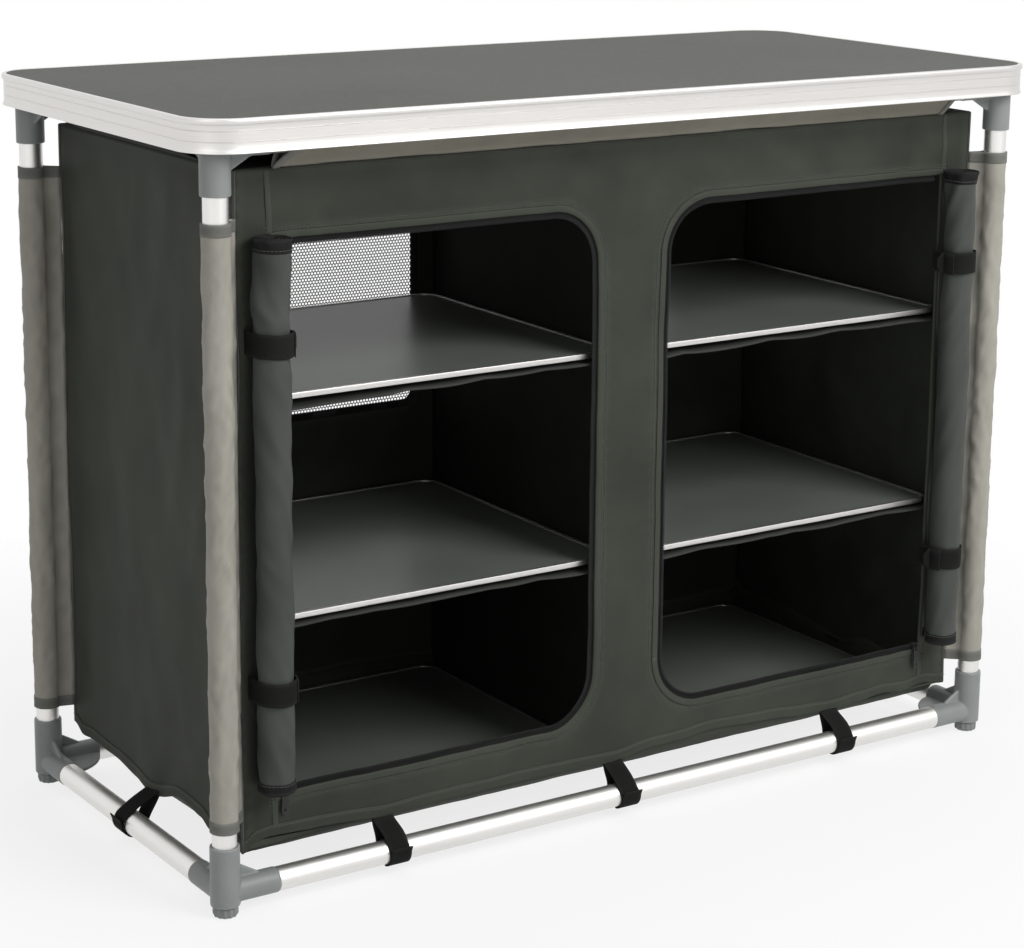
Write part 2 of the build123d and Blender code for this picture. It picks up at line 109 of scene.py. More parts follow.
floor_mesh.from_pydata(floor_corners, [], [(0, 1, 2, 3)])
floor_mesh.materials.append(floor_finish)
studio_floor = bpy.data.objects.new("studio_floor", floor_mesh)
scene.collection.objects.link(studio_floor)

for name, place, size, power in (
    ("lamp_front", (0.9, -2.7, 2.5), 1.8, 84.0),
    ("lamp_left", (-3.2, -1.8, 1.9), 2.0, 10.0),
    ("lamp_top", (0.2, 0.2, 3.4), 2.4, 14.0),
):
    lamp_data = bpy.data.lights.new(name, "AREA")
    lamp_data.size, lamp_data.energy = size, power
    lamp = bpy.data.objects.new(name, lamp_data)
    lamp.location = place
    lamp.rotation_euler = (Vector((0, 0, 0.4)) - Vector(place)).to_track_quat("-Z", "Y").to_euler()
    scene.collection.objects.link(lamp)

yaw, pitch, roll = (math.radians(angle) for angle in (33.733, 12.672, 0.612))
ahead = Vector((math.sin(yaw) * math.cos(pitch), math.cos(yaw) * math.cos(pitch), -math.sin(pitch)))
level = Vector((math.cos(yaw), -math.sin(yaw), 0.0))
upward = level.cross(ahead)
right = level * math.cos(roll) + upward * math.sin(roll)
upward = upward * math.cos(roll) - level * math.sin(roll)
camera_data = bpy.data.cameras.new("camera")
camera_data.sensor_width = 36.0
camera_data.lens = 92.12
camera_data.shift_y = -0.10
camera = bpy.data.objects.new("camera", camera_data)
turn = Matrix((right, upward, -ahead)).transposed().to_4x4()
camera.matrix_world = Matrix.Translation((-1.616485, -2.391668, 1.105416)) @ turn
scene.collection.objects.link(camera)
scene.camera = camera


# Corner connectors. Eight grey corners, injection moulded in glass-filled nylon: a
# post, two arms, a gusset over each arm and a web between them. The legs push into
# the posts and the rails over the arms' cross ribs.
corners = {"front_left": (-1, -1), "front_right": (1, -1), "back_left": (-1, 1), "back_right": (1, 1)}


def shader(name):
    """A new material, its tree, its Principled shader and its Object coordinates."""
    made = bpy.data.materials.new(name)
    made.use_nodes = True
    at = node(made.node_tree, "ShaderNodeTexCoord").outputs["Object"]
    return made, made.node_tree, made.node_tree.nodes["Principled BSDF"], at


def blotches(tree, vector, scale, detail=4.0, rough=0.55):
    """Soft random patches."""
    inputs = {"Vector": vector, "Scale": scale, "Detail": detail, "Roughness": rough}
    return node(tree, "ShaderNodeTexNoise", inputs).outputs["Fac"]


def shade(tree, amount, dark, light, low=0.3, high=0.7):
    """Turns an amount into a colour between a dark and a light one."""
    ramp = node(tree, "ShaderNodeValToRGB", {"Fac": amount})
    for stop, place, colour in zip(ramp.color_ramp.elements, (low, high), (dark, light)):
        stop.position, stop.color = place, (*colour, 1.0)
    return ramp.outputs["Color"]


def mixed(tree, share, first, second, data_type="RGBA", blend_type="MIX"):
    """Mixes two colours or two amounts."""
    kinds = {"data_type": data_type, "blend_type": blend_type}
    return node(tree, "ShaderNodeMix", {"Factor": share, "A": first, "B": second}, **kinds).outputs["Result"]


def paint(tree, bsdf, colour, roughness, gloss=0.5):
    """Connects a finish's colour and roughness and sets its gloss."""
    tree.links.new(colour, bsdf.inputs["Base Color"])
    tree.links.new(roughness, bsdf.inputs["Roughness"])
    bsdf.inputs["Specular IOR Level"].default_value = gloss


def relief(tree, bsdf, height, depth, strength):
    """Puts a fine surface relief on the material, after any it already has."""
    before = bsdf.inputs["Normal"].links
    inputs = {"Height": height, "Distance": depth, "Strength": strength}
    if before:
        inputs["Normal"] = before[0].from_socket
    bump = node(tree, "ShaderNodeBump", inputs)
    tree.links.new(bump.outputs["Normal"], bsdf.inputs["Normal"])


def moulded(name, dark, light, roughness, gloss=0.5):
    """Moulded plastic with flow marks, an eroded grain and paler edges."""
    made, tree, bsdf, at = shader(name)
    flow, grain = blotches(tree, at, 34.0), blotches(tree, at, 2300.0, 2.0)
    edge = node(tree, "ShaderNodeNewGeometry").outputs["Pointiness"]
    pale = [min(1.0, 1.35 * part) for part in light]
    colour = mixed(tree, spread(tree, edge, -4.6, 5.4), shade(tree, flow, dark, light), (*pale, 1.0))
    paint(tree, bsdf, colour, spread(tree, flow, roughness - 0.06, roughness + 0.08), gloss)
    relief(tree, bsdf, grain, 0.00006, 0.6)
    return made


def put(made, finish, replaced=(), body="frame", crisp=None):
    """Gives a finished piece its material and body, and hides the CAD nodes it stands for.
    Edges sharper than the crisp angle stay crisp."""
    made.data.materials.clear()
    made.data.materials.append(finish)
    for face in made.data.polygons:
        face.use_smooth = True
    if crisp:
        made.data.set_sharp_from_angle(angle=math.radians(crisp))
    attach(made, body)
    if replaced:
        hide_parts(*replaced)
    return made


def piece_from(name, mesh):
    """A new object that holds this mesh."""
    made = bpy.data.objects.new(name, mesh)
    scene.collection.objects.link(made)
    return made


def modified(made, kind, **settings):
    """Puts a modifier with these settings on a piece."""
    modifier = made.modifiers.new(kind.lower(), kind)
    for key, value in settings.items():
        setattr(modifier, key, value)


def meshed(source):
    """Turns a curve or a piece with modifiers into a plain mesh piece."""
    bpy.context.view_layer.update()
    graph = bpy.context.evaluated_depsgraph_get()
    mesh = bpy.data.meshes.new_from_object(source.evaluated_get(graph))
    name = source.name
    source.modifiers.clear()
    bpy.data.objects.remove(source)
    mesh.name = name
    return piece_from(name, mesh)


connector_grey = moulded("connector_grey", (0.165, 0.175, 0.172), (0.215, 0.228, 0.225), 0.46)
mould_voxel = 0.0009
for corner in corners:
    for layer in ("lower", "upper"):
        cad_node = f"{layer}_connector_{corner}"
        connector = piece_from(f"corner_{layer}_{corner}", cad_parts[cad_node].data.copy())
        work = bmesh.new()
        work.from_mesh(connector.data)
        bmesh.ops.remove_doubles(work, verts=work.verts, dist=0.000002)
        work.to_mesh(connector.data)
        work.free()
        modified(connector, "REMESH", mode="VOXEL", voxel_size=mould_voxel)
        modified(connector, "SMOOTH", factor=0.5, iterations=7)
        modified(connector, "DECIMATE", ratio=0.3)
        put(meshed(connector), connector_grey, [cad_node])


# Levelling feet. Four dark grey feet, moulded with twelve finger flutes on a
# threaded stem. They screw into the lower corners to level the cupboard.
def metres(*pairs):
    """Pairs of millimetres, in metres."""
    return [(first / 1000, second / 1000) for first, second in pairs]


def closed_piece(name, work):
    """A piece from a bmesh, its doubles merged and its faces turned outwards."""
    bmesh.ops.remove_doubles(work, verts=work.verts, dist=0.000001)
    bmesh.ops.recalc_face_normals(work, faces=work.faces)
    mesh = bpy.data.meshes.new(name)
    work.to_mesh(mesh)
    work.free()
    return piece_from(name, mesh)


def lofted(name, rings):
    """A closed piece through rings of points, with a face at either end."""
    work = bmesh.new()
    rings = [[work.verts.new(point) for point in ring] for ring in rings]
    for ring, above in zip(rings, rings[1:]):
        for index in range(len(ring)):
            after = (index + 1) % len(ring)
            work.faces.new((ring[index], ring[after], above[after], above[index]))
    work.faces.new(rings[0])
    work.faces.new(rings[-1])
    return closed_piece(name, work)


def heading(angle):
    """The flat direction at an angle."""
    return Vector((math.cos(angle), math.sin(angle)))


foot_grey = moulded("foot_grey", (0.120, 0.128, 0.126), (0.165, 0.175, 0.172), 0.5)
flute_depth, flutes = 0.0010, 12
stem_radius, thread_pitch, thread_depth = 0.0049, 0.0020, 0.0005
shoulder, around, thread_rings = 0.0112, 72, 90
foot_profile = metres((0, 0), (9.8, 0), (11.6, 0.4), (12.4, 1.3), (12.9, 2.6), (13, 4), (13, 9.3))
foot_profile += metres((12.7, 10.3), (11.8, 11), (10.5, 11.2), (5.3, 11.2))
for corner in corners:
    cad_node = f"foot_{corner}"
    low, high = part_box(cad_node)
    middle, top = (low + high) / 2, high.z - low.z
    levels = []
    for radius, height in foot_profile:
        depth = flute_depth if radius > 0.0115 else 0.0
        waves = [0.5 - 0.5 * math.cos(flutes * (2 * math.pi * step / around)) for step in range(around)]
        levels.append((height, [radius - depth * wave ** 0.7 for wave in waves]))
    for row in range(thread_rings + 1):
        height = shoulder + (top - shoulder) * row / thread_rings
        taper = min(1.0, (top - height) / 0.0012 + 0.55)
        teeth = [abs((height / thread_pitch - step / around) % 1.0 - 0.5) * 2 for step in range(around)]
        levels.append((height, [(stem_radius - thread_depth * tooth) * taper for tooth in teeth]))
    rings = []
    for height, reaches in levels:
        angles = [2 * math.pi * step / around for step in range(around)]
        spots = [(reach * math.cos(angle), reach * math.sin(angle)) for reach, angle in zip(reaches, angles)]
        rings.append([(middle.x + a, middle.y + b, low.z + height) for a, b in spots])
    put(lofted(f"levelling_foot_{corner}", rings), foot_grey, [cad_node], cad_node)


# Legs and rails. Twelve aluminium tubes of 25 mm, extruded, brushed along their
# length and clear anodised. They push into and over the corners.
leg_x, leg_y = 0.499, 0.214


def brushed(name, along, tint, roughness):
    """Anodised aluminium with fine lines that run along the given axes."""
    made, tree, bsdf, at = shader(name)
    stretch = [1.0 if axis in along else 60.0 for axis in "xyz"]
    drawn_out = node(tree, "ShaderNodeMapping", {"Vector": at, "Scale": stretch}).outputs["Vector"]
    lines, cloud = blotches(tree, drawn_out, 26.0, 5.0, 0.7), blotches(tree, at, 9.0)
    wear = mixed(tree, 0.35, lines, cloud, "FLOAT")
    colour = shade(tree, lines, tint, [min(1.0, 1.1 * part) for part in tint])
    paint(tree, bsdf, colour, spread(tree, wear, roughness - 0.07, roughness + 0.12))
    bsdf.inputs["Metallic"].default_value = 1.0
    relief(tree, bsdf, lines, 0.00002, 0.5)
    return made


def finish_cad(cad_node, finish):
    """Gives a CAD piece that stays in view its finish."""
    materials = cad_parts[cad_node].data.materials
    materials.clear()
    materials.append(finish)


for axis, cad_nodes in (
    ("x", ["upper_rails_long", "lower_rail_front", "lower_rail_back"]),
    ("y", ["upper_rails_short", "lower_rail_left", "lower_rail_right"]),
    ("z", [f"leg_{corner}" for corner in corners]),
):
    tube_aluminium = brushed(f"tube_aluminium_{axis}", axis, (0.74, 0.73, 0.71), 0.40)
    for cad_node in cad_nodes:
        finish_cad(cad_node, tube_aluminium)


# Leg sleeves. Four tubes of pale coated polyester round the legs, each sewn along a
# flap that runs back to the cabinet's corner, with a darker binding at both ends.
def smooth(amount):
    """Eases from 0 to 1."""
    amount = max(0.0, min(1.0, amount))
    return amount * amount * (3 - 2 * amount)


def folds(u, v, seed, wide, high, turned=0.0):
    """Soft folds, about wide by high across, from -1 to 1."""
    along = u * math.cos(turned) + v * math.sin(turned)
    across = v * math.cos(turned) - u * math.sin(turned)
    return noise.noise(Vector((along / wide, across / high, seed * 7.31)))


def rippled(u, v, *kinds):
    """Kinds of folds added up, each with its depth, seed, width, height and turn."""
    return sum(depth * folds(u, v, *kind) for depth, *kind in kinds)


def creases(u, v, seed, wide, high, turned=0.0):
    """Folds with sharp ridges, from about -0.5 to 0.5."""
    return 0.5 - 2.4 * (folds(u, v, seed, wide, high, turned) ** 2 + 0.004) ** 0.43


def woven(name, dark, light, roughness, thread=0.0009, depth=0.00007, gloss=0.12):
    """Woven cloth on the flat cut's own coordinates, with a painted highlight: fold ridges painted paler."""
    made, tree, bsdf, at = shader(name)
    cut = node(tree, "ShaderNodeUVMap", uv_map="cut").outputs["UV"]
    threads = []
    for direction in ("X", "Y"):
        inputs = {"Vector": cut, "Scale": 0.314 / thread, "Distortion": 0.6, "Detail": 1.0}
        threads.append(node(tree, "ShaderNodeTexWave", inputs, bands_direction=direction).outputs["Fac"])
    patches, slub = blotches(tree, at, 7.0, 6.0, 0.6), blotches(tree, cut, 420.0, 3.0, 0.7)
    # Ridges of folds (high pointiness) get a paler colour: a painted highlight where light catches them.
    painted_highlight_mask = node(tree, "ShaderNodeNewGeometry").outputs["Pointiness"]
    body = shade(tree, patches, dark, light, 0.36, 0.64)
    flecked = mixed(tree, spread(tree, slub, -0.1, 0.45), body, (*dark, 1.0))
    pale = [1.5 * part for part in light]
    colour = mixed(tree, spread(tree, painted_highlight_mask, -3.0, 3.3), flecked, (*pale, 1.0))
    paint(tree, bsdf, colour, spread(tree, patches, roughness - 0.08, roughness + 0.08), gloss)
    bsdf.inputs["Sheen Weight"].default_value = 0.02
    bsdf.inputs["Sheen Roughness"].default_value = 0.4
    relief(tree, bsdf, maths(tree, "MULTIPLY", *threads), depth, 0.5)
    relief(tree, bsdf, slub, depth, 0.25)
    return made


def cloth(name, points, faces, cuts, thick=0.0008):
    """A sheet of cloth, with each point's place on its flat cut."""
    mesh = bpy.data.meshes.new(name)
    mesh.from_pydata(points, [], faces)
    layer = mesh.uv_layers.new(name="cut")
    for loop in mesh.loops:
        layer.data[loop.index].uv = cuts[loop.vertex_index]
    made = piece_from(name, mesh)
    modified(made, "SOLIDIFY", thickness=thick, offset=0.0)
    return made


def woven_rows(name, rows, thick=0.0008, flip=False):
    """A sheet through rows of points, each with its place on the cut."""
    wide, faces = len(rows[0]), []
    for row in range(len(rows) - 1):
        for start in range(row * wide, row * wide + wide - 1):
            face = (start, start + 1, start + 1 + wide, start + wide)
            faces.append(face[::-1] if flip else face)
    spots = [spot for row in rows for spot in row]
    return cloth(name, [point for point, _ in spots], faces, [cut for _, cut in spots], thick)


def woven_grid(name, across, along, place, thick=0.0008, flip=False):
    """A sheet over a grid. place gives a point and its place on the cut."""
    rows = [[place(step / across, row / along) for step in range(across + 1)] for row in range(along + 1)]
    return woven_rows(name, rows, thick, flip)


def lengths(line):
    """How far along a line each of its points lies."""
    run = [0.0]
    for here, on in zip(line, line[1:]):
        step = math.dist(here, on) if isinstance(on, tuple) else (on - here).length
        run.append(run[-1] + step)
    return run


sleeve_cloth = woven("sleeve_cloth", (0.255, 0.245, 0.212), (0.335, 0.322, 0.282), 0.62)
grey_binding = woven("grey_binding", (0.105, 0.105, 0.096), (0.150, 0.150, 0.138), 0.7, 0.0012)
sleeve_radius, sleeve_least, sleeve_hem, flap_end = 0.01385, 0.0131, 0.0115, 0.0306
flap_share, flap_angle = 0.24, 0.36
sleeve_shares = [0.0, 0.08, 0.16] + [flap_share + 0.52 * step / 30 for step in range(31)] + [0.84, 0.92, 1.0]
for index, (corner, (side_x, side_y)) in enumerate(corners.items()):
    cad_node = f"leg_sleeve_{corner}"
    low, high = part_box(cad_node)
    tall, seed = high.z - low.z, index + 1.0
    towards = Vector((-side_x * 0.027, -side_y * 0.014, 0.0)).normalized()
    beside = Vector((-towards.y, towards.x, 0.0))

    def sleeve_point(share, height, proud):
        """A point of the sleeve: the flap, round the leg and the flap again."""
        z = low.z + height * tall
        leg = Vector((side_x * leg_x, side_y * leg_y, z))
        if flap_share <= share <= 1 - flap_share:
            angle = flap_angle + (2 * math.pi - 2 * flap_angle) * (share - flap_share) / 0.52
            u = angle * 0.02
            ruck = folds(u, z, seed, 0.02, 0.035) + 0.6 * folds(u, z, seed + 5, 0.012, 0.014)
            ruck += 0.7 * creases(u, z, seed + 7, 0.024, 0.042, 0.5)
            ruck += 0.45 * creases(u, z, seed + 11, 0.011, 0.018, -0.6)
            ends = 1 - 0.7 * smooth(abs(2 * height - 1) * 9 - 7.6)
            front = 0.5 + 0.5 * math.cos(angle)
            reach = max(sleeve_least, sleeve_radius + (0.0013 * ruck + 0.0012 * front) * ends) + proud
            return leg + towards * (reach * math.cos(angle)) + beside * (reach * math.sin(angle))
        inner = min(share, 1 - share) / flap_share
        side = 1.0 if share < 0.5 else -1.0
        start = sleeve_point(flap_share if share < 0.5 else 1 - flap_share, height, proud)
        wave = 0.0030 * folds(z, 0.0, seed + 9, 0.021, 1.0) * math.sin(math.pi * inner)
        wave *= smooth(height / 0.05) * smooth((1 - height) / 0.05)
        out = flap_end - 0.0006 * abs(folds(z, 3.0, seed + 12, 0.026, 1.0))
        tip = leg + towards * out + beside * side * (0.0006 + proud)
        return tip.lerp(start, inner ** 1.35) + beside * wave

    def sleeve_sheet(name, bottom, top, count, proud):
        """The part of a sleeve between two heights."""
        rows = []
        for row in range(count + 1):
            height = bottom + (top - bottom) * row / count
            line = [sleeve_point(share, height, proud) for share in sleeve_shares]
            rows.append([(point, (run, height * 0.61)) for point, run in zip(line, lengths(line))])
        return woven_rows(name, rows, 0.0007)

    sleeve = put(sleeve_sheet(f"sleeve_{corner}", 0.0, 1.0, 150, 0.0), sleeve_cloth, [cad_node])
    for end, bottom, top in (("low", -0.001, sleeve_hem / tall), ("high", 1 - sleeve_hem / tall, 1.001)):
        hem = sleeve_sheet(f"sleeve_hem_{end}_{corner}", bottom, top, 5, 0.0006)
        put(hem, grey_binding)


# Cabinet, front panel. One panel of dark coated polyester with two door openings.
# Its outer strips are sewn on at two upright seams, and its hem hangs in shallow
# waves between the rail straps.
sides = {"left": -1, "right": 1}
forward, backward = Vector((0.0, -1.0, 0.0)), Vector((0.0, 1.0, 0.0))
half_wide, half_deep, wall_foot, wall_top = 0.472, 0.200, 0.060, 0.745
front_face, back_face, side_face = -0.1993, 0.1992, 0.4713
door_seam, stitch_lift = 0.4318, 0.0008


def between(knots, x):
    """Eases through a list of (place, value) pairs."""
    if x <= knots[0][0]:
        return knots[0][1]
    for (x0, y0), (x1, y1) in zip(knots, knots[1:]):
        if x <= x1:
            return y0 + (y1 - y0) * smooth((x - x0) / (x1 - x0))
    return knots[-1][1]


def round_corners(points, radii, step=0.004):
    """A closed outline with some of its corners rounded, sampled evenly."""
    outline = []
    for index, radius in enumerate(radii):
        here = Vector(points[index])
        if not radius:
            outline.append(here)
            continue
        back = (Vector(points[index - 1]) - here).normalized()
        on = (Vector(points[(index + 1) % len(points)]) - here).normalized()
        centre = here + (back + on) * radius
        pieces = max(4, int(radius * 1.57 / step))
        for piece in range(pieces + 1):
            angle = math.pi / 2 * piece / pieces
            outline.append(centre - on * radius * math.cos(angle) - back * radius * math.sin(angle))
    sampled = []
    for start, end in zip(outline, outline[1:] + outline[:1]):
        pieces = max(1, round((end - start).length / step))
        sampled += [start.lerp(end, piece / pieces) for piece in range(pieces)]
    return sampled


def rectangle(left, right, low, high, radius=0.0, step=0.004):
    """The outline of a rectangle."""
    return round_corners([(left, low), (right, low), (right, high), (left, high)], [radius] * 4, step)


def inside(point, loop):
    """Whether a flat point lies in a closed outline."""
    found = False
    for (ax, ay), (bx, by) in zip(loop, loop[1:] + loop[:1]):
        if (ay > point[1]) != (by > point[1]) and point[0] < ax + (point[1] - ay) * (bx - ax) / (by - ay):
            found = not found
    return found


def cut_cloth(name, outline, holes, place, spacing=0.008, flip=False, thick=0.0009):
    """A cut panel with holes. place puts each point of the cut in space."""
    loops, flat, borders, cells = [outline, *holes], [], [], {}
    for loop in loops:
        start = len(flat)
        flat += loop
        borders += [(start + index, start + (index + 1) % len(loop)) for index in range(len(loop))]
    for point in flat:
        cells.setdefault((int(point.x // spacing), int(point.y // spacing)), []).append(point)
    low = Vector((min(point.x for point in flat), min(point.y for point in flat)))
    high = Vector((max(point.x for point in flat), max(point.y for point in flat)))
    rim, *openings = [[tuple(point) for point in loop] for loop in loops]

    def is_cloth(point):
        """Whether a point of the cut lies in the cloth and in none of its holes."""
        return inside(point, rim) and not any(inside(point, opening) for opening in openings)

    for row in range(int((high.y - low.y) / spacing) + 1):
        for column in range(int((high.x - low.x) / spacing) + 1):
            shift = 0.5 if row % 2 else 0.0
            point = Vector((low.x + (column + shift) * spacing, low.y + row * spacing))
            x, y = int(point.x // spacing), int(point.y // spacing)
            near = [spot for dx in (-1, 0, 1) for dy in (-1, 0, 1) for spot in cells.get((x + dx, y + dy), ())]
            if not any((point - spot).length < 0.6 * spacing for spot in near) and is_cloth(point):
                flat.append(point)
    cuts, _, found, *_ = geometry.delaunay_2d_cdt(flat, borders, [], 0, 0.0000001)
    faces = []
    for face in found:
        if is_cloth(sum((cuts[index] for index in face), Vector((0.0, 0.0))) / len(face)):
            faces.append(tuple(face)[::-1] if flip else tuple(face))
    return cloth(name, [place(*cut) for cut in cuts], faces, [tuple(cut) for cut in cuts], thick)


def grower(name, amounts, middle=False):
    """A new Geometry Nodes tree, with these amounts, a middle and a finish as inputs."""
    tree = bpy.data.node_groups.new(name, "GeometryNodeTree")
    sockets = [("Start", "Geometry"), *((amount, "Float") for amount in amounts)]
    sockets += [("Middle", "Vector")] * middle + [("Finish", "Material")]
    for socket, kind in sockets:
        tree.interface.new_socket(socket, in_out="INPUT", socket_type=f"NodeSocket{kind}")
    tree.interface.new_socket("Made", in_out="OUTPUT", socket_type="NodeSocketGeometry")
    return tree, node(tree, "NodeGroupInput").outputs


def harvest(tree, laid, finish):
    """Ends a tree: what it laid is made real and gets its finish."""
    real = node(tree, "GeometryNodeRealizeInstances", {"Geometry": laid}).outputs["Geometry"]
    done = node(tree, "GeometryNodeSetMaterial", {"Geometry": real, "Material": finish})
    node(tree, "NodeGroupOutput", {"Made": done.outputs["Geometry"]})
    return tree


def row_of_rods(name, axis="Z", pivot="AUTO", lay=(0.0, 0.0, 0.0)):
    """A tree that lays short rods along lines: stitches, or the teeth of a zip."""
    tree, given = grower(name, ("Pitch", "Length", "Radius"))
    pitch = {"Curve": given["Start"], "Length": given["Pitch"]}
    spaced = node(tree, "GeometryNodeResampleCurve", pitch, mode="LENGTH").outputs["Curve"]
    along = {"Vector": node(tree, "GeometryNodeInputTangent").outputs["Tangent"]}
    turned = node(tree, "FunctionNodeAlignRotationToVector", along, axis=axis, pivot_axis=pivot)
    size = {"Vertices": 6, "Radius": given["Radius"], "Depth": given["Length"]}
    rod = node(tree, "GeometryNodeMeshCylinder", size).outputs["Mesh"]
    rod = node(tree, "GeometryNodeTransform", {"Geometry": rod, "Rotation": lay}).outputs["Geometry"]
    inputs = {"Points": spaced, "Instance": rod, "Rotation": turned.outputs["Rotation"]}
    laid = node(tree, "GeometryNodeInstanceOnPoints", inputs).outputs["Instances"]
    return harvest(tree, laid, given["Finish"])


def drawn(name, lines):
    """A curve along lines of points."""
    curve = bpy.data.curves.new(name, "CURVE")
    curve.dimensions = "3D"
    for line in lines:
        spline = curve.splines.new("POLY")
        spline.points.add(len(line) - 1)
        for point, place in zip(spline.points, line):
            point.co = (*place, 1.0)
    return piece_from(name, curve)


def grown(source, tree, **values):
    """Runs a Geometry Nodes tree on an object and returns a plain mesh piece."""
    modifier = source.modifiers.new("made", "NODES")
    modifier.node_group = tree
    known = {item.name: item.identifier for item in tree.interface.items_tree if item.in_out == "INPUT"}
    for key, value in values.items():
        modifier[known[key]] = value
    return meshed(source)


def stitched(name, lines):
    """Stitches along lines of points, as one piece."""
    sizes = {"Pitch": 0.0040, "Length": 0.0030, "Radius": 0.00028}
    made = grown(drawn(name, lines), stitch_rows, **sizes, Finish=sewing_thread)
    return put(made, sewing_thread)


def tape(name, line, section, closed=False):
    """Tape folded over an edge. line holds points, ways in and ways out of the
    cloth, and section the tape's offsets along those two ways."""
    line, depths = line + line[:1] * closed, lengths(section)
    rows = []
    for (point, inward, outward), run in zip(line, lengths([place for place, _, _ in line])):
        spots = [point + inward * a + outward * b for a, b in section]
        rows.append([(spot, (run, depth)) for spot, depth in zip(spots, depths)])
    return woven_rows(name, rows, 0.0007)


def edge_line(outline, place, facing):
    """The points of an outline on a panel, each with its ways in and out."""
    line = []
    for index, here in enumerate(outline):
        along = (outline[(index + 1) % len(outline)] - outline[index - 1]).normalized()
        away = Vector((along.y, -along.x))
        base = place(*here)
        line.append((base, (place(*(here + away * 0.002)) - base).normalized(), facing))
    return line


def hemmed(where, end, place, facing, half, pieces):
    """The turned-up lower edge of a panel and its row of stitches."""
    line = [u / pieces * half for u in range(-pieces, pieces + 1)]
    rows = []
    for u in line:
        spots = [(place(u, hem_level + up) + facing * off, up) for up, off in hem_section]
        rows.append([(spot, (u, 0.002 * index + up)) for index, (spot, up) in enumerate(spots)])
    hem = put(woven_rows(f"{where}_hem{end}", rows, 0.0007), wall_cloth)
    raised = [place(u, hem_level + 0.0095) + facing * 0.0016 for u in line]
    return [hem, stitched(f"{where}_hem_stitches{end}", [raised])]


wall_cloth = woven("wall_cloth", (0.0248, 0.0274, 0.0214), (0.0470, 0.0508, 0.0410), 0.6)
black_binding = woven("black_binding", (0.010, 0.010, 0.0095), (0.019, 0.019, 0.018), 0.7, 0.0012, gloss=0.05)
sewing_thread = moulded("sewing_thread", (0.030, 0.031, 0.028), (0.060, 0.061, 0.056), 0.6)
stitch_rows = row_of_rods("row_of_stitches")
hem_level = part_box("front_panel")[0].z
hem_section = metres((12, 0.7), (11.2, 1.2), (6, 1.2), (1.2, 1.4), (-0.3, 1))
hem_section += metres((-0.8, 0), (-0.3, -1), (1.2, -1.3), (11, -1.3))
fold_over = metres((6.2, 1.1), (5.2, 1.4), (0.6, 1.4), (-0.5, 0.9), (-0.8, 0), (-0.5, -0.9), (0.6, -1.4), (6.2, -1.3))
front_hem = metres((-472, 54), (-455, 64), (-440, 66), (-362, 62), (-306, 58.5), (-230, 61.5), (-140, 61.5))
front_hem += metres((-55, 60), (-12, 58), (44, 65), (120, 68), (200, 66), (260, 60), (296, 57.2), (340, 60))
front_hem += metres((373, 62.5), (408, 59.6), (440, 64), (472, 60))


def sway(corner, z):
    """How far a corner of the cabinet leans out of line at a height."""
    side_x, side_y = corners[corner]
    seed = 3.0 + side_x + 2.0 * side_y
    calm = 0.0035 * smooth((z - 0.05) / 0.1) * smooth((wall_top - z) / 0.12)
    return Vector((folds(z, 0.0, seed, 0.16, 1.0) * calm, folds(z, 1.0, seed + 4, 0.12, 1.0) * calm, 0.0))


def wall_sway(u, z, first, last, half):
    """The corners' lean, faded into a wall between two of them."""
    near_first, near_last = 1 - smooth((u + half) / 0.07), 1 - smooth((half - u) / 0.07)
    return sway(first, z) * near_first + sway(last, z) * near_last


def hung(z, hem):
    """Moves the lowest part of a panel to its hem line."""
    return z + (hem - hem_level) * (1 - smooth((z - hem_level) / 0.05))


def front_place(x, z):
    """A point of the front panel, with more folds at its edges and corners."""
    wave = rippled(x, z, (0.0024, 1.0, 0.075, 0.34), (0.0015, 2.0, 0.05, 0.12, 0.7))
    wave += 0.0005 * folds(x, z, 3.0, 0.020, 0.034, -0.5)
    wave += 0.0022 * folds(x, z, 4.0, 0.03, 0.12, 0.9) * smooth((z - 0.64) / 0.08)
    wave += 0.0020 * folds(x, z, 6.0, 0.035, 0.10, -0.7) * smooth((0.17 - z) / 0.08)
    wave += 0.0011 * creases(x, z, 8.0, 0.085, 0.15, 0.6)
    upper, lower = smooth((z - 0.60) / 0.06), smooth((0.14 - z) / 0.05)
    wave += 0.0028 * creases(x, z, 9.0, 0.045, 0.050, 0.8) * smooth((abs(x) - 0.34) / 0.07) * upper
    wave += 0.0020 * creases(x, z, 10.0, 0.050, 0.060, -0.6) * smooth((abs(x) - 0.32) / 0.08) * lower
    at_roll = smooth((abs(x) - 0.40) / 0.015) * smooth((z - 0.10) / 0.02) * smooth((0.69 - z) / 0.02)
    wave *= smooth((half_wide - abs(x)) / 0.03) * (1 - 0.75 * at_roll)
    lean = wall_sway(x, z, "front_left", "front_right", half_wide)
    return Vector((x, front_face - wave, hung(z, between(front_hem, x)))) + lean


def door_outline(side, grow=0.0):
    """A door opening, rounded towards the middle of the cabinet."""
    near, far = side * (0.043 - grow), side * (0.431 + grow)
    low, high, bend = 0.108 - grow, 0.676 + grow, 0.060 + grow
    if side < 0:
        return round_corners([(far, low), (near, low), (near, high), (far, high)], [0.0, bend, bend, 0.0])
    return round_corners([(near, low), (far, low), (far, high), (near, high)], [bend, 0.0, 0.0, bend])


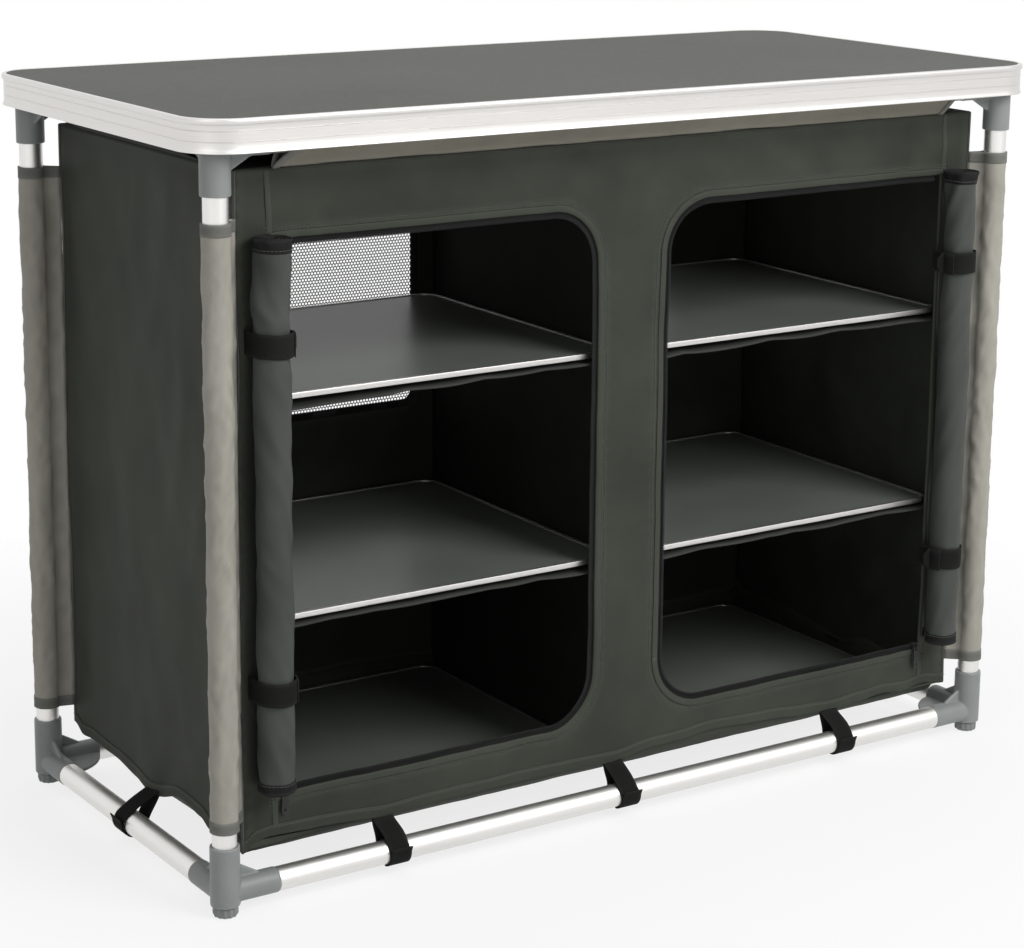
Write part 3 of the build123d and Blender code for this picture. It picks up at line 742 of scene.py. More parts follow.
wide_outline = rectangle(-half_wide, half_wide, wall_foot, wall_top, step=0.008)
doors = {name: door_outline(side) for name, side in sides.items()}
front = cut_cloth("front_wall", wide_outline, doors.values(), front_place)
put(front, wall_cloth, ["front_panel"])
front_trim = []
for name, side in sides.items():
    trim = tape(f"door_binding_{name}", edge_line(doors[name], front_place, forward), fold_over, True)
    front_trim.append(put(trim, wall_cloth))
    loops = [door_outline(side, grow) for grow in (0.0072, 0.0105)]
    rows = [[front_place(*spot) + forward * stitch_lift for spot in loop] for loop in loops]
    front_trim.append(stitched(f"door_stitches_{name}", [row + row[:1] for row in rows]))
front_trim += hemmed("front", "", front_place, forward, half_wide, 160)
seams = []
for x in (-0.4335, -0.4370, 0.4335, 0.4370):
    seam = [front_place(x, 0.062 + 0.68 * step / 120) for step in range(121)]
    seams.append([place + forward * stitch_lift for place in seam])
front_trim.append(stitched("front_seam_stitches", seams))
for name, side in sides.items():
    places = [front_place(side * door_seam, 0.061 + 0.683 * step / 120) for step in range(121)]
    line = [(place, Vector((side, 0.0, 0.0)), forward) for place in places]
    ridge = tape(f"front_seam_{name}", line, metres((-0.6, 0.3), (0, 0.9), (5.2, 0.9), (5.8, 0.4)))
    front_trim.append(put(ridge, wall_cloth))


# Cabinet, side and back panels. Three more panels of the same polyester, joined to
# the front at piped corners. The back has two window cut-outs, bound with black tape.
left_hem = metres((-200, 54), (-185, 60), (-128, 55.5), (-108, 62), (-60, 66), (-5, 51.5))
left_hem += metres((39, 56.5), (83, 62), (150, 64.5), (175, 62.5), (200, 70))
right_hem = [(-half_deep, 0.060)] + [(y, z - 0.002 + 0.004 * (y > 0)) for y, z in left_hem[1:]]
side_hems = {"left": left_hem, "right": right_hem}
back_hem = [(-half_wide, 0.070), *((-x, z) for x, z in reversed(front_hem[1:-1])), (half_wide, 0.070)]
side_walls = {}
for name, side in sides.items():

    def side_place(y, z, side=side, name=name):
        """A point of a side panel."""
        wave = 0.0040 * folds(y, z, 11.0 + side, 0.11, 0.45, 0.12)
        wave += 0.0024 * folds(y, z, 15.0 + side, 0.05, 0.2, -0.35)
        wave += 0.0024 * folds(y, z, 17.0 + side, 0.035, 0.11, 0.8) * smooth((0.24 - z) / 0.12)
        wave += 0.0006 * folds(y, z, 19.0 + side, 0.022, 0.034)
        wave += 0.0016 * creases(y, z, 13.0 + side, 0.07, 0.19, 0.25)
        calm = smooth((half_deep - abs(y)) / 0.035) * smooth((wall_top - z) / 0.05)
        lean = wall_sway(y, z, f"front_{name}", f"back_{name}", half_deep)
        level = hung(z, between(side_hems[name], y))
        return Vector((side * (side_face + wave * calm), y, level)) + lean

    side_walls[name] = side_place
    outline = rectangle(-half_deep, half_deep, wall_foot, wall_top, step=0.008)
    wall = cut_cloth(f"side_wall_{name}", outline, [], side_place, flip=side < 0)
    put(wall, wall_cloth, [f"side_panel_{name}"])
    trim = hemmed("side", f"_{name}", side_place, Vector((side, 0.0, 0.0)), half_deep, 60)


def back_place(x, z):
    """A point of the back panel."""
    wave = rippled(x, z, (0.0026, 31.0, 0.12, 0.4, 0.1), (0.0016, 33.0, 0.05, 0.16, -0.4))
    wave += 0.0004 * folds(x, z, 35.0, 0.02, 0.03)
    calm = smooth((half_wide - abs(x)) / 0.03)
    lean = wall_sway(x, z, "back_left", "back_right", half_wide)
    return Vector((x, back_face + abs(wave) * calm, hung(z, between(back_hem, x)))) + lean


window_out, window_level, window_wide, window_high = 0.185, 0.539, 0.155, 0.151


def window_outline(side, grow=0.0):
    """A window's cut-out in the back panel."""
    x, wide, high = side * window_out, window_wide + grow, window_high + grow
    return rectangle(x - wide, x + wide, window_level - high, window_level + high, 0.012 + grow)


windows = {name: window_outline(side) for name, side in sides.items()}
back = cut_cloth("back_wall", wide_outline, windows.values(), back_place, flip=True)
put(back, wall_cloth, ["back_panel"])
back_trim = []
for name, side in sides.items():
    line = edge_line(windows[name], back_place, backward)
    section = [(a * 1.15, b * 0.9) for a, b in fold_over]
    back_trim.append(put(tape(f"window_binding_{name}", line, section, True), black_binding))
    row = [back_place(*spot) + backward * 0.0007 for spot in window_outline(side, 0.0092)]
    back_trim.append(stitched(f"window_stitches_{name}", [row + row[:1]]))
back_trim += hemmed("back", "", back_place, backward, half_wide, 160)


def round_cord(name, line, radius, finish):
    """A thin round piece along a line of points, closed at both ends."""
    cord = drawn(name, [line])
    cord.data.bevel_depth, cord.data.bevel_resolution, cord.data.use_fill_caps = radius, 2, True
    return put(meshed(cord), finish)


piping = moulded("corner_piping", (0.022, 0.023, 0.021), (0.038, 0.040, 0.036), 0.55)
piping_out, piping_deep, piping_radius = 0.4717, 0.1996, 0.0015
for corner, (side_x, side_y) in corners.items():
    hem, line = between(front_hem if side_y < 0 else back_hem, side_x * half_wide), []
    for step in range(101):
        z = hem_level + (0.744 - hem_level) * step / 100
        place = Vector((side_x * piping_out, side_y * piping_deep, hung(z, hem)))
        line.append(place + sway(corner, z))
    round_cord(f"corner_piping_{corner}", line, piping_radius, piping)

# Cabinet, divider, roof and floor. Inner panels of the same cloth: an upright
# divider, a roof sewn in at the top edge and a floor that hangs from the hem as a
# shallow tray under the boards.
# The divider and roof cloth is painted darker than the walls' cloth: painted shade for the dim inside of the cabinet.
shaded_inner_cloth = woven("shaded_inner_cloth", (0.011, 0.0117, 0.0098), (0.021, 0.0222, 0.0190), 0.7, gloss=0.08)
divider_low, divider_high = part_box("divider")
floor_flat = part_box("floor_panel")[0].z + 0.0008
inner_wide, inner_deep, roof_level, seam_in = 0.4700, 0.1980, 0.7442, 0.0012


def divider_place(across, up):
    """A point of the divider."""
    z = divider_low.z + (divider_high.z - divider_low.z - 0.001) * up
    seam_front, seam_back = front_place(0.0, z).y + seam_in, back_place(0.0, z).y - seam_in
    y = seam_front + (seam_back - seam_front) * across
    calm = smooth(across / 0.08) * smooth((1 - across) / 0.08)
    calm *= smooth((z - 0.062) / 0.03) * smooth((0.735 - z) / 0.03)
    wave = rippled(y, z, (0.0026, 41.0, 0.09, 0.3, 0.2), (0.0008, 42.0, 0.03, 0.07, -0.5))
    return Vector((wave * calm, y, z)), (y, z)


def roof_place(across, deep):
    """A point of the roof panel."""
    x, y = inner_wide * (2 * across - 1), inner_deep * (2 * deep - 1)
    calm = smooth((inner_wide - abs(x)) / 0.05) * smooth((inner_deep - abs(y)) / 0.05)
    sag = 0.0018 + rippled(x, y, (0.0016, 45.0, 0.12, 0.08), (0.0006, 46.0, 0.04, 0.04))
    return Vector((x, y, roof_level - abs(sag) * calm)), (x, y)


def floor_place(across, deep):
    """A point of the floor, which turns up to the hem at its rim."""
    x, y = inner_wide * (2 * across - 1), inner_deep * (2 * deep - 1)
    rise_x = 1 - smooth((inner_wide - abs(x)) / 0.014)
    rise_y = 1 - smooth((inner_deep - abs(y)) / 0.0085)
    rise = max(rise_x, rise_y)
    sag = 0.0014 * (0.5 + rippled(x, y, (0.5, 51.0, 0.09, 0.07), (0.4, 52.0, 0.025, 0.03)))
    laid = Vector((x, y, floor_flat - sag * (1 - rise)))
    if rise_y >= rise_x:
        sewn = (front_place if y < 0 else back_place)(x, hem_level + 0.005)
        sewn.y -= math.copysign(0.0020, y)
    else:
        sewn = side_walls["left" if x < 0 else "right"](y, hem_level + 0.005)
        sewn.x -= math.copysign(0.0020, x)
    return laid.lerp(sewn, rise), (x, y)


divider = woven_grid("divider_wall", 48, 80, divider_place, flip=True)
put(divider, shaded_inner_cloth, ["divider"])
roof = woven_grid("roof_cloth", 110, 50, roof_place)
put(roof, shaded_inner_cloth, ["roof_panel"])
floor_tray = woven_grid("floor_tray", 160, 90, floor_place)
put(floor_tray, wall_cloth, ["floor_panel"])

# Window mesh. Two pieces of black knitted mesh with open six-sided holes, sewn
# behind the window cut-outs.
def knitted_mesh():
    """A tree that turns a sheet into a lattice of six-sided holes."""
    tree, given = grower("knitted_mesh", ("Width", "Height", "Hole pitch", "Row pitch", "Hole share"), True)
    wide, high = given["Width"], given["Height"]
    columns = maths(tree, "ROUND", maths(tree, "DIVIDE", wide, given["Hole pitch"]))
    rows = maths(tree, "ROUND", maths(tree, "DIVIDE", high, given["Row pitch"]))
    sizes = {"Size X": wide, "Size Y": high, "Vertices X": columns, "Vertices Y": rows}
    ground = node(tree, "GeometryNodeMeshGrid", sizes).outputs["Mesh"]
    here = node(tree, "GeometryNodeInputPosition").outputs["Position"]
    up = node(tree, "ShaderNodeSeparateXYZ", {"Vector": here}).outputs["Y"]
    step = maths(tree, "DIVIDE", high, maths(tree, "SUBTRACT", rows, 1.0))
    from_foot = maths(tree, "ADD", up, maths(tree, "MULTIPLY", high, 0.5))
    row = maths(tree, "ROUND", maths(tree, "DIVIDE", from_foot, step))
    odd = maths(tree, "MULTIPLY", maths(tree, "FLOORED_MODULO", row, 2.0), 0.5)
    shift = node(tree, "ShaderNodeCombineXYZ", {"X": maths(tree, "MULTIPLY", odd, given["Hole pitch"])}).outputs[0]
    ground = node(tree, "GeometryNodeSetPosition", {"Geometry": ground, "Offset": shift}).outputs[0]
    thirds = node(tree, "GeometryNodeTriangulate", {"Mesh": ground}, quad_method="SHORTEST_DIAGONAL").outputs[0]
    cells = node(tree, "GeometryNodeDualMesh", {"Mesh": thirds}).outputs["Dual Mesh"]
    inputs = {"Mesh": cells, "Offset Scale": 0.0, "Individual": True}
    rims = node(tree, "GeometryNodeExtrudeMesh", inputs, mode="FACES").outputs
    inputs = {"Geometry": rims["Mesh"], "Selection": rims["Top"], "Scale": given["Hole share"]}
    holes = node(tree, "GeometryNodeScaleElements", inputs, domain="FACE").outputs[0]
    inputs = {"Geometry": holes, "Selection": rims["Top"]}
    lattice = node(tree, "GeometryNodeDeleteGeometry", inputs, domain="FACE").outputs[0]
    inputs = {"Geometry": lattice, "Translation": given["Middle"], "Rotation": (math.pi / 2, 0.0, 0.0)}
    return harvest(tree, node(tree, "GeometryNodeTransform", inputs).outputs[0], given["Finish"])


mesh_yarn, tree, bsdf, at = shader("mesh_yarn")
yarn = blotches(tree, at, 900.0, 3.0)
paint(tree, bsdf, shade(tree, yarn, (0.020, 0.021, 0.020), (0.045, 0.046, 0.044)), spread(tree, yarn, 0.45, 0.7))
relief(tree, bsdf, yarn, 0.00005, 0.5)
mesh_tree = knitted_mesh()
mesh_seam, mesh_behind = 0.007, 0.1980
for name, side in sides.items():
    sizes = {"Width": 2 * (window_wide + mesh_seam), "Height": 2 * (window_high + mesh_seam)}
    holes = {"Hole pitch": 0.0040, "Row pitch": 0.0034, "Hole share": 0.70}
    ground = piece_from(f"window_mesh_{name}", bpy.data.meshes.new("mesh_ground"))
    middle = (side * window_out, mesh_behind, window_level)
    window_mesh = grown(ground, mesh_tree, **sizes, **holes, Middle=middle, Finish=mesh_yarn)
    put(window_mesh, mesh_yarn, ["mesh_windows"])

# Rail tunnels and valance. Folded cloth sewn to the cabinet's top edge, through
# which the upper rails run. The front one is pale and shows under the worktop, its
# slanted ends bound.
def round_tube(reach, rise, radius=0.0130, arc_pieces=26, straight_pieces=6):
    """The way of cloth from a seam, round a tube and back to the seam: offsets
    towards the cabinet and up, each with its outward direction."""
    middle, lean = math.atan2(rise, reach), math.acos(radius / math.hypot(reach, rise))
    first, last = middle + lean, middle - lean + 2 * math.pi
    seam, start, end = Vector((reach, rise)), heading(first), heading(last)
    steps = [step / straight_pieces for step in range(straight_pieces + 1)]
    way = [((seam + start * 0.0005).lerp(start * radius, step), start) for step in steps[:-1]]
    arc = [heading(first + (last - first) * piece / arc_pieces) for piece in range(arc_pieces)]
    way += [(away * radius, away) for away in arc]
    return way + [((end * radius).lerp(seam + end * 0.0005, step), end) for step in steps]


def rails_at(level):
    """The rails at a level, each with its middle, the way inwards and the way along."""
    rightward = Vector((1.0, 0.0, 0.0))
    rails = {"front": (Vector((0.0, -leg_y, level)), backward, rightward)}
    rails["back"] = (Vector((0.0, leg_y, level)), forward, -rightward)
    for name, side in sides.items():
        rails[name] = (Vector((side * leg_x, 0.0, level)), -rightward * side, forward * side)
    return rails


def by_rail(rail, shift, offset):
    """A point beside a rail: along it, then towards the cabinet and up."""
    middle, inward, along = rail
    return middle + along * shift + inward * offset.x + Vector((0.0, 0.0, offset.y))


def slanted(side, seam, top):
    """An end that leans in from the seam to the rail."""
    return lambda share: side * (seam + (top - seam) * smooth((share if share < 0.5 else 1 - share) / 0.24))


def tunnel(name, finish, rail, way, ends, seed, pieces):
    """A tunnel of cloth along a rail. The ends are given for each place on the way."""
    run = lengths([offset for offset, _ in way])
    rows = [[] for _ in range(pieces + 1)]
    for index, (offset, outward) in enumerate(way):
        share, v = index / (len(way) - 1), run[index]
        first, last = (end(share) for end in ends)
        calm = smooth(min(share, 1 - share) / 0.08)
        for column, row in enumerate(rows):
            place = first + (last - first) * column / pieces
            ruck = rippled(place, v, (0.0016, seed, 0.035, 0.06, 0.5), (0.0007, seed + 2, 0.014, 0.03, 0.4))
            moved = offset + outward * max(-0.0004, ruck) * calm
            row.append((by_rail(rail, place, moved), (place, v)))
    return woven_rows(name, rows, 0.0006), run[-1]


valance_cloth = woven("valance_cloth", (0.180, 0.168, 0.138), (0.250, 0.235, 0.196), 0.62)
ways = {"long": round_tube(0.0148, -0.0278), "short": round_tube(0.0278, -0.0278)}
upper_level = 0.773
rails = rails_at(upper_level)
ends = [slanted(-1, 0.430, 0.419), slanted(1, 0.429, 0.424)]
valance, girth = tunnel("valance_front", valance_cloth, rails["front"], ways["long"], ends, 61.0, 200)
put(valance, valance_cloth, ["valance"])
for (name, side), end in zip(sides.items(), ends):
    line = []
    for index, (offset, outward) in enumerate(ways["long"]):
        point = by_rail(rails["front"], end(index / (len(ways["long"]) - 1)), offset)
        line.append((point, Vector((-side, 0.0, 0.0)), Vector((0.0, outward.x, outward.y))))
    trim = tape(f"valance_binding_{name}", line, metres((7, 1), (0.4, 1.3), (-0.8, 0), (0.4, -1), (7, -0.7)))
    put(trim, grey_binding)
line = [front_place(x / 200 * 0.43, 0.7428) + forward * 0.0010 for x in range(-200, 201)]
stitched("valance_stitches", [line])
for name, half, pieces, seed, kind in (
    ("back", 0.425, 160, 64.0, "long"),
    ("left", 0.140, 60, 66.0, "short"),
    ("right", 0.140, 60, 68.0, "short"),
):
    ends = [slanted(-1, half, half), slanted(1, half, half)]
    made, girth = tunnel(f"tunnel_{name}", wall_cloth, rails[name], ways[kind], ends, seed, pieces)
    put(made, wall_cloth, ["rail_tunnels"])

# Shelf slings. Four sheets of cloth sewn across the compartments that carry the
# upper boards. Each front edge is hemmed and droops in folds under its board.
sling_cloth = woven("sling_cloth", (0.020, 0.021, 0.019), (0.036, 0.038, 0.034), 0.6)
sling_front = -0.1920
for name, side in sides.items():
    for level in ("top", "middle"):
        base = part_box(f"shelf_edge_{name}_{level}")[0].z
        seed = 71.0 + side + (3.0 if level == "top" else 0.0)

        def sling_place(across, deep):
            """A point of a sling, sewn to the divider, the side and the back."""
            wall = side_walls[name](sling_front + 0.3892 * deep, base).x - side * seam_in
            x = side * 0.0011 + (wall - side * 0.0011) * across
            y = sling_front + (back_place(x, base).y - seam_in - sling_front) * deep
            ends = smooth(across / 0.10) * smooth((1 - across) / 0.10)
            at_front = (1 - smooth((y - sling_front) / 0.040)) * ends
            dip = 0.0030 + 0.0060 * abs(folds(x, 0.0, seed, 0.10, 1.0))
            dip += 0.0040 * max(0.0, folds(x, 0.0, seed + 7, 0.22, 1.0))
            under = 0.0010 + 0.0014 * abs(folds(x, y, seed + 1, 0.08, 0.06)) * ends
            curl = 0.0016 * folds(x, 2.0, seed + 3, 0.05, 1.0) * at_front
            return Vector((x, y + curl, base - under - dip * at_front)), (x, y)

        sling = woven_grid(f"sling_{name}_{level}", 120, 48, sling_place, flip=side < 0)
        put(sling, sling_cloth, [f"shelf_slings_{name}"])
        edge = [sling_place(step / 120, 0.0)[0] for step in range(121)]
        roll_hem = round_cord(f"sling_hem_{name}_{level}", edge, 0.0013, sling_cloth)

# Shelf boards. Six loose boards with a glossy dark laminate, each framed in a thin
# extruded aluminium edge with one groove, its ends meeting at the back.
def edge_profile(name, cad_node, radius, section, corner_pieces):
    """An extruded profile bent round the box of a CAD node and cut once at the
    back. section is closed, with offsets outwards and up from the top."""
    low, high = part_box(cad_node)
    middle, half_x, half_y = (low + high) / 2, (high.x - low.x) / 2, (high.y - low.y) / 2
    gap, back = 0.00015, Vector((0.0, 1.0))
    path = [(Vector((gap, half_y)), back)]
    for turn_x, turn_y, start in ((1, 1, 90), (1, -1, 0), (-1, -1, -90), (-1, 1, -180)):
        centre = Vector((turn_x * (half_x - radius), turn_y * (half_y - radius)))
        for piece in range(corner_pieces + 1):
            outward = heading(math.radians(start - 90 * piece / corner_pieces))
            path.append((centre + outward * radius, outward))
    path.append((Vector((-gap, half_y)), back))
    rings = []
    for place, outward in path:
        spots = [(place + outward * out, up) for out, up in section]
        rings.append([(middle.x + spot.x, middle.y + spot.y, high.z + up) for spot, up in spots])
    return lofted(name, rings)


edge_aluminium = brushed("edge_aluminium", "xy", (0.62, 0.61, 0.595), 0.40)
shelf_laminate, tree, bsdf, at = shader("shelf_laminate")
cloud, peel = blotches(tree, at, 5.0), blotches(tree, at, 160.0, 3.0)
colour = shade(tree, cloud, (0.128, 0.141, 0.124), (0.162, 0.177, 0.157))
paint(tree, bsdf, colour, spread(tree, cloud, 0.29, 0.35))
relief(tree, bsdf, peel, 0.00001, 0.10)
shelf_section = metres((-4.8, -0.1), (-4.6, 0), (-0.8, 0), (-0.2, -0.2), (0, -0.7), (0, -2.2))
shelf_section += metres((-0.4, -2.5), (-0.4, -3.1), (0, -3.4), (0, -5.3), (-0.2, -5.8), (-0.6, -6))
shelf_section += metres((-1.3, -6), (-1.4, -5.8), (-1.4, -0.9), (-4.8, -0.8))
for name in sides:
    for level in ("top", "middle", "bottom"):
        cad_node = f"shelf_edge_{name}_{level}"
        rim = edge_profile(f"shelf_rim_{name}_{level}", cad_node, 0.020, shelf_section, 10)
        put(rim, edge_aluminium, [cad_node], f"shelf_{name}_{level}", 38.0)
        finish_cad(f"shelf_board_{name}_{level}", shelf_laminate)

# Rolled doors. Each door is a panel of the cabinet's cloth, sewn in at its outer
# side and rolled up outwards. Its zip tape shows as black ends on the roll.
door_cloth = woven("door_cloth", (0.044, 0.048, 0.0445), (0.066, 0.071, 0.066), 0.58)
coil_nylon = moulded("coil_nylon", (0.010, 0.010, 0.010), (0.020, 0.020, 0.020), 0.5, 0.1)
zip_tape_cloth = woven("zip_tape_cloth", (0.009, 0.009, 0.009), (0.017, 0.017, 0.017), 0.66, 0.0008, gloss=0.06)
roll_out, roll_front = 0.443, -0.2215
roll_turns, roll_pitch, roll_outer, roll_lead = 5.4, 0.0028, 0.0188, 0.03
tie_levels = (0.228, 0.578)


def zip_teeth(name, line, tree, width=0.0034):
    """A zip's coil along a line of points."""
    sizes = {"Pitch": 0.0016, "Length": width, "Radius": 0.00052}
    return put(grown(drawn(name, [line]), tree, **sizes, Finish=coil_nylon), coil_nylon)


upright_teeth = row_of_rods("teeth_on_a_roll", "X", "Z")
for name, side in sides.items():
    roll_low, roll_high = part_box(f"door_roll_{name}")

    def roll_point(share, z, proud):
        """A point of the rolled cloth, from its seam to its inner end."""
        if share < roll_lead:
            start = Vector((side * 0.4340, -0.2004 - proud, z))
            return start.lerp(roll_point(roll_lead, z, proud), share / roll_lead)
        angle = 2 * math.pi * roll_turns * (share - roll_lead) / (1 - roll_lead)
        radius = roll_outer - roll_pitch * angle / (2 * math.pi)
        keep = radius / roll_outer
        tight = max(math.exp(-(((z - level) / 0.022) ** 2)) for level in tie_levels)
        round_it = angle % (2 * math.pi)
        join = smooth(round_it / 0.5) * smooth((2 * math.pi - round_it) / 0.5)
        u = round_it * 0.019
        dent = rippled(u, z, (0.0019, 83.0 + side, 0.03, 0.09, 0.3), (0.0009, 85.0 + side, 0.014, 0.040, 0.6))
        dent += 0.0014 * creases(u, z, 87.0 + side, 0.020, 0.060, 0.45)
        dent *= 1.0 + 0.8 * smooth((z - 0.52) / 0.06)
        radius += keep * (0.0004 - 0.0011 * tight + dent * join * (1 - 0.5 * tight)) + proud
        drift = 0.0009 * folds(z, 0.0, 81.0 + side, 0.16, 1.0)
        x = side * roll_out + drift + side * radius * math.sin(angle)
        return Vector((x, roll_front + radius * math.cos(angle), z))

    def roll_sheet(name, low, high, count, proud, thick):
        """The rolled cloth between two heights, and its width when flat."""
        levels = [low + (high - low) * row / count for row in range(count + 1)]
        grid = [[roll_point(column / 230, z, proud) for column in range(231)] for z in levels]
        run = lengths(grid[0])
        rows = [[(point, (u, z)) for point, u in zip(line, run)] for z, line in zip(levels, grid)]
        return woven_rows(name, rows, thick, side < 0), run[-1]

    rolled = (f"door_roll_cloth_{name}", roll_low.z + 0.002, roll_high.z - 0.002, 120, 0.0, 0.0009)
    door_roll, unrolled = roll_sheet(*rolled)
    put(door_roll, door_cloth, [f"door_roll_{name}"])
    ends = []
    for end, low, high in (
        ("low", roll_low.z + 0.0008, roll_low.z + 0.0124),
        ("high", roll_high.z - 0.0120, roll_high.z + 0.0010),
    ):
        coil_level = low + 0.0018 if end == "low" else high - 0.0012
        fold_level = low + 0.0100 if end == "low" else high - 0.0100
        band, _ = roll_sheet(f"door_zip_tape_{name}_{end}", low, high, 4, 0.0007, 0.0006)
        ends.append(put(band, zip_tape_cloth))
        line = [roll_point(step / 600, coil_level, 0.0008) for step in range(601)]
        ends.append(zip_teeth(f"door_coil_{name}_{end}", line, upright_teeth, 0.0028))
        row = [roll_point(step / 900, fold_level, 0.0013) for step in range(280)]
        ends.append(stitched(f"door_tape_stitches_{name}_{end}", [row]))

# Door ties. Two black webbing ties hold each roll. They are sewn to the front
# panel, pass round the roll and close on themselves with a cut end that stands off.
webbing = woven("black_webbing", (0.0080, 0.0080, 0.0078), (0.0160, 0.0160, 0.0155), 0.75, 0.0016, 0.0002, 0.04)
webbing_half, tie_radius = 0.012, 0.0199
tie_foot = -0.2009 - roll_front
for name, side in sides.items():
    line = [(side * tie_radius, tie_foot), (side * tie_radius, 0.012)]
    for step in range(27):
        angle = -math.pi * step / 26
        line.append((side * tie_radius * math.cos(angle), tie_radius * math.sin(angle)))
    line += [(-side * tie_radius, 0.010), (-side * (tie_radius + 0.0002), tie_foot)]
    run = lengths(line)
    for number, level in enumerate(tie_levels):

        def tie_place(across, along):
            """A point of a tie."""
            seed, spot = 91.0 + number + side, across * (len(line) - 1)
            index = min(int(spot), len(line) - 2)
            share = spot - index
            x, y = Vector(line[index]).lerp(Vector(line[index + 1]), share)
            scale = 1 + 0.02 * folds(across, along, seed, 0.25, 0.8)
            z = level + webbing_half * (2 * along - 1) + 0.0010 * folds(across, 0.0, seed + 4, 0.3, 1.0)
            cut = (run[index] + share * (run[index + 1] - run[index]), along * 2 * webbing_half)
            y = roll_front + min(y, tie_foot) * scale
            return Vector((side * roll_out + x * scale, y, z)), cut

        def end_place(across, along):
            """A point of the tie's free end, which comes to a blunt point."""
            if across < 0.7:
                angle, radius = math.pi * (0.80 + 0.20 * across / 0.7), tie_radius + 0.0013
                x, y = side * radius * math.cos(angle), -radius * math.sin(angle)
            else:
                out = (across - 0.7) / 0.3
                x, y = -side * (tie_radius + 0.0013 + 0.0062 * out), 0.0045 * out
            point_in = max(0.0, (across - 0.80) / 0.20) * 0.55
            z = level + webbing_half * (2 * along - 1) * (1 - point_in) - 0.0012
            cut = (across * 0.024, along * 2 * webbing_half)
            return Vector((side * roll_out + x, roll_front + y, z)), cut

        tie = woven_grid(f"door_tie_{name}_{number + 1}", 60, 8, tie_place, 0.0011, side < 0)
        put(tie, webbing, ["door_ties"])
        end = woven_grid(f"door_tie_end_{name}_{number + 1}", 22, 6, end_place, 0.0011, side < 0)
        put(end, webbing)

# Door zips. The other half of each zip is sewn behind the edge of its opening: black
# tape with a nylon coil, along the top, the rounded inner side and the bottom.
flat_teeth = row_of_rods("teeth_round_an_opening", "Z", "Y", (0.0, math.pi / 2, 0.0))
zip_stop, zip_behind, coil_in, coil_behind = 0.4240, 0.0017, 0.0064, 0.0008
for name, side in sides.items():
    loop = doors[name]
    kept = [abs(point.x) < zip_stop for point in loop]
    start = next(index for index in range(len(loop)) if kept[index] and not kept[index - 1])
    turned = [(index + start) % len(loop) for index in range(len(loop))]
    route = [loop[index] for index in turned if kept[index]]
    rows, chain = [], []
    for index, point in enumerate(route):
        along = (route[min(index + 1, len(route) - 1)] - route[max(index - 1, 0)]).normalized()
        out, row = Vector((along.y, -along.x)), []
        for offset in (0.0050, 0.0, -0.0028, -0.0052, -0.0074):
            spot = point + out * offset
            ripple = 0.0004 * folds(spot.x, spot.y, 101.0 + side, 0.02, 0.02)
            place = front_place(*spot) + backward * (zip_behind + ripple)
            row.append((place, (index * 0.004, offset)))
        rows.append(row)
        chain.append(front_place(*(point - out * coil_in)) + backward * coil_behind)
    zip_band = put(woven_rows(f"door_zip_{name}", rows), zip_tape_cloth, ["door_zips"])
    coil = zip_teeth(f"door_zip_coil_{name}", chain, flat_teeth)

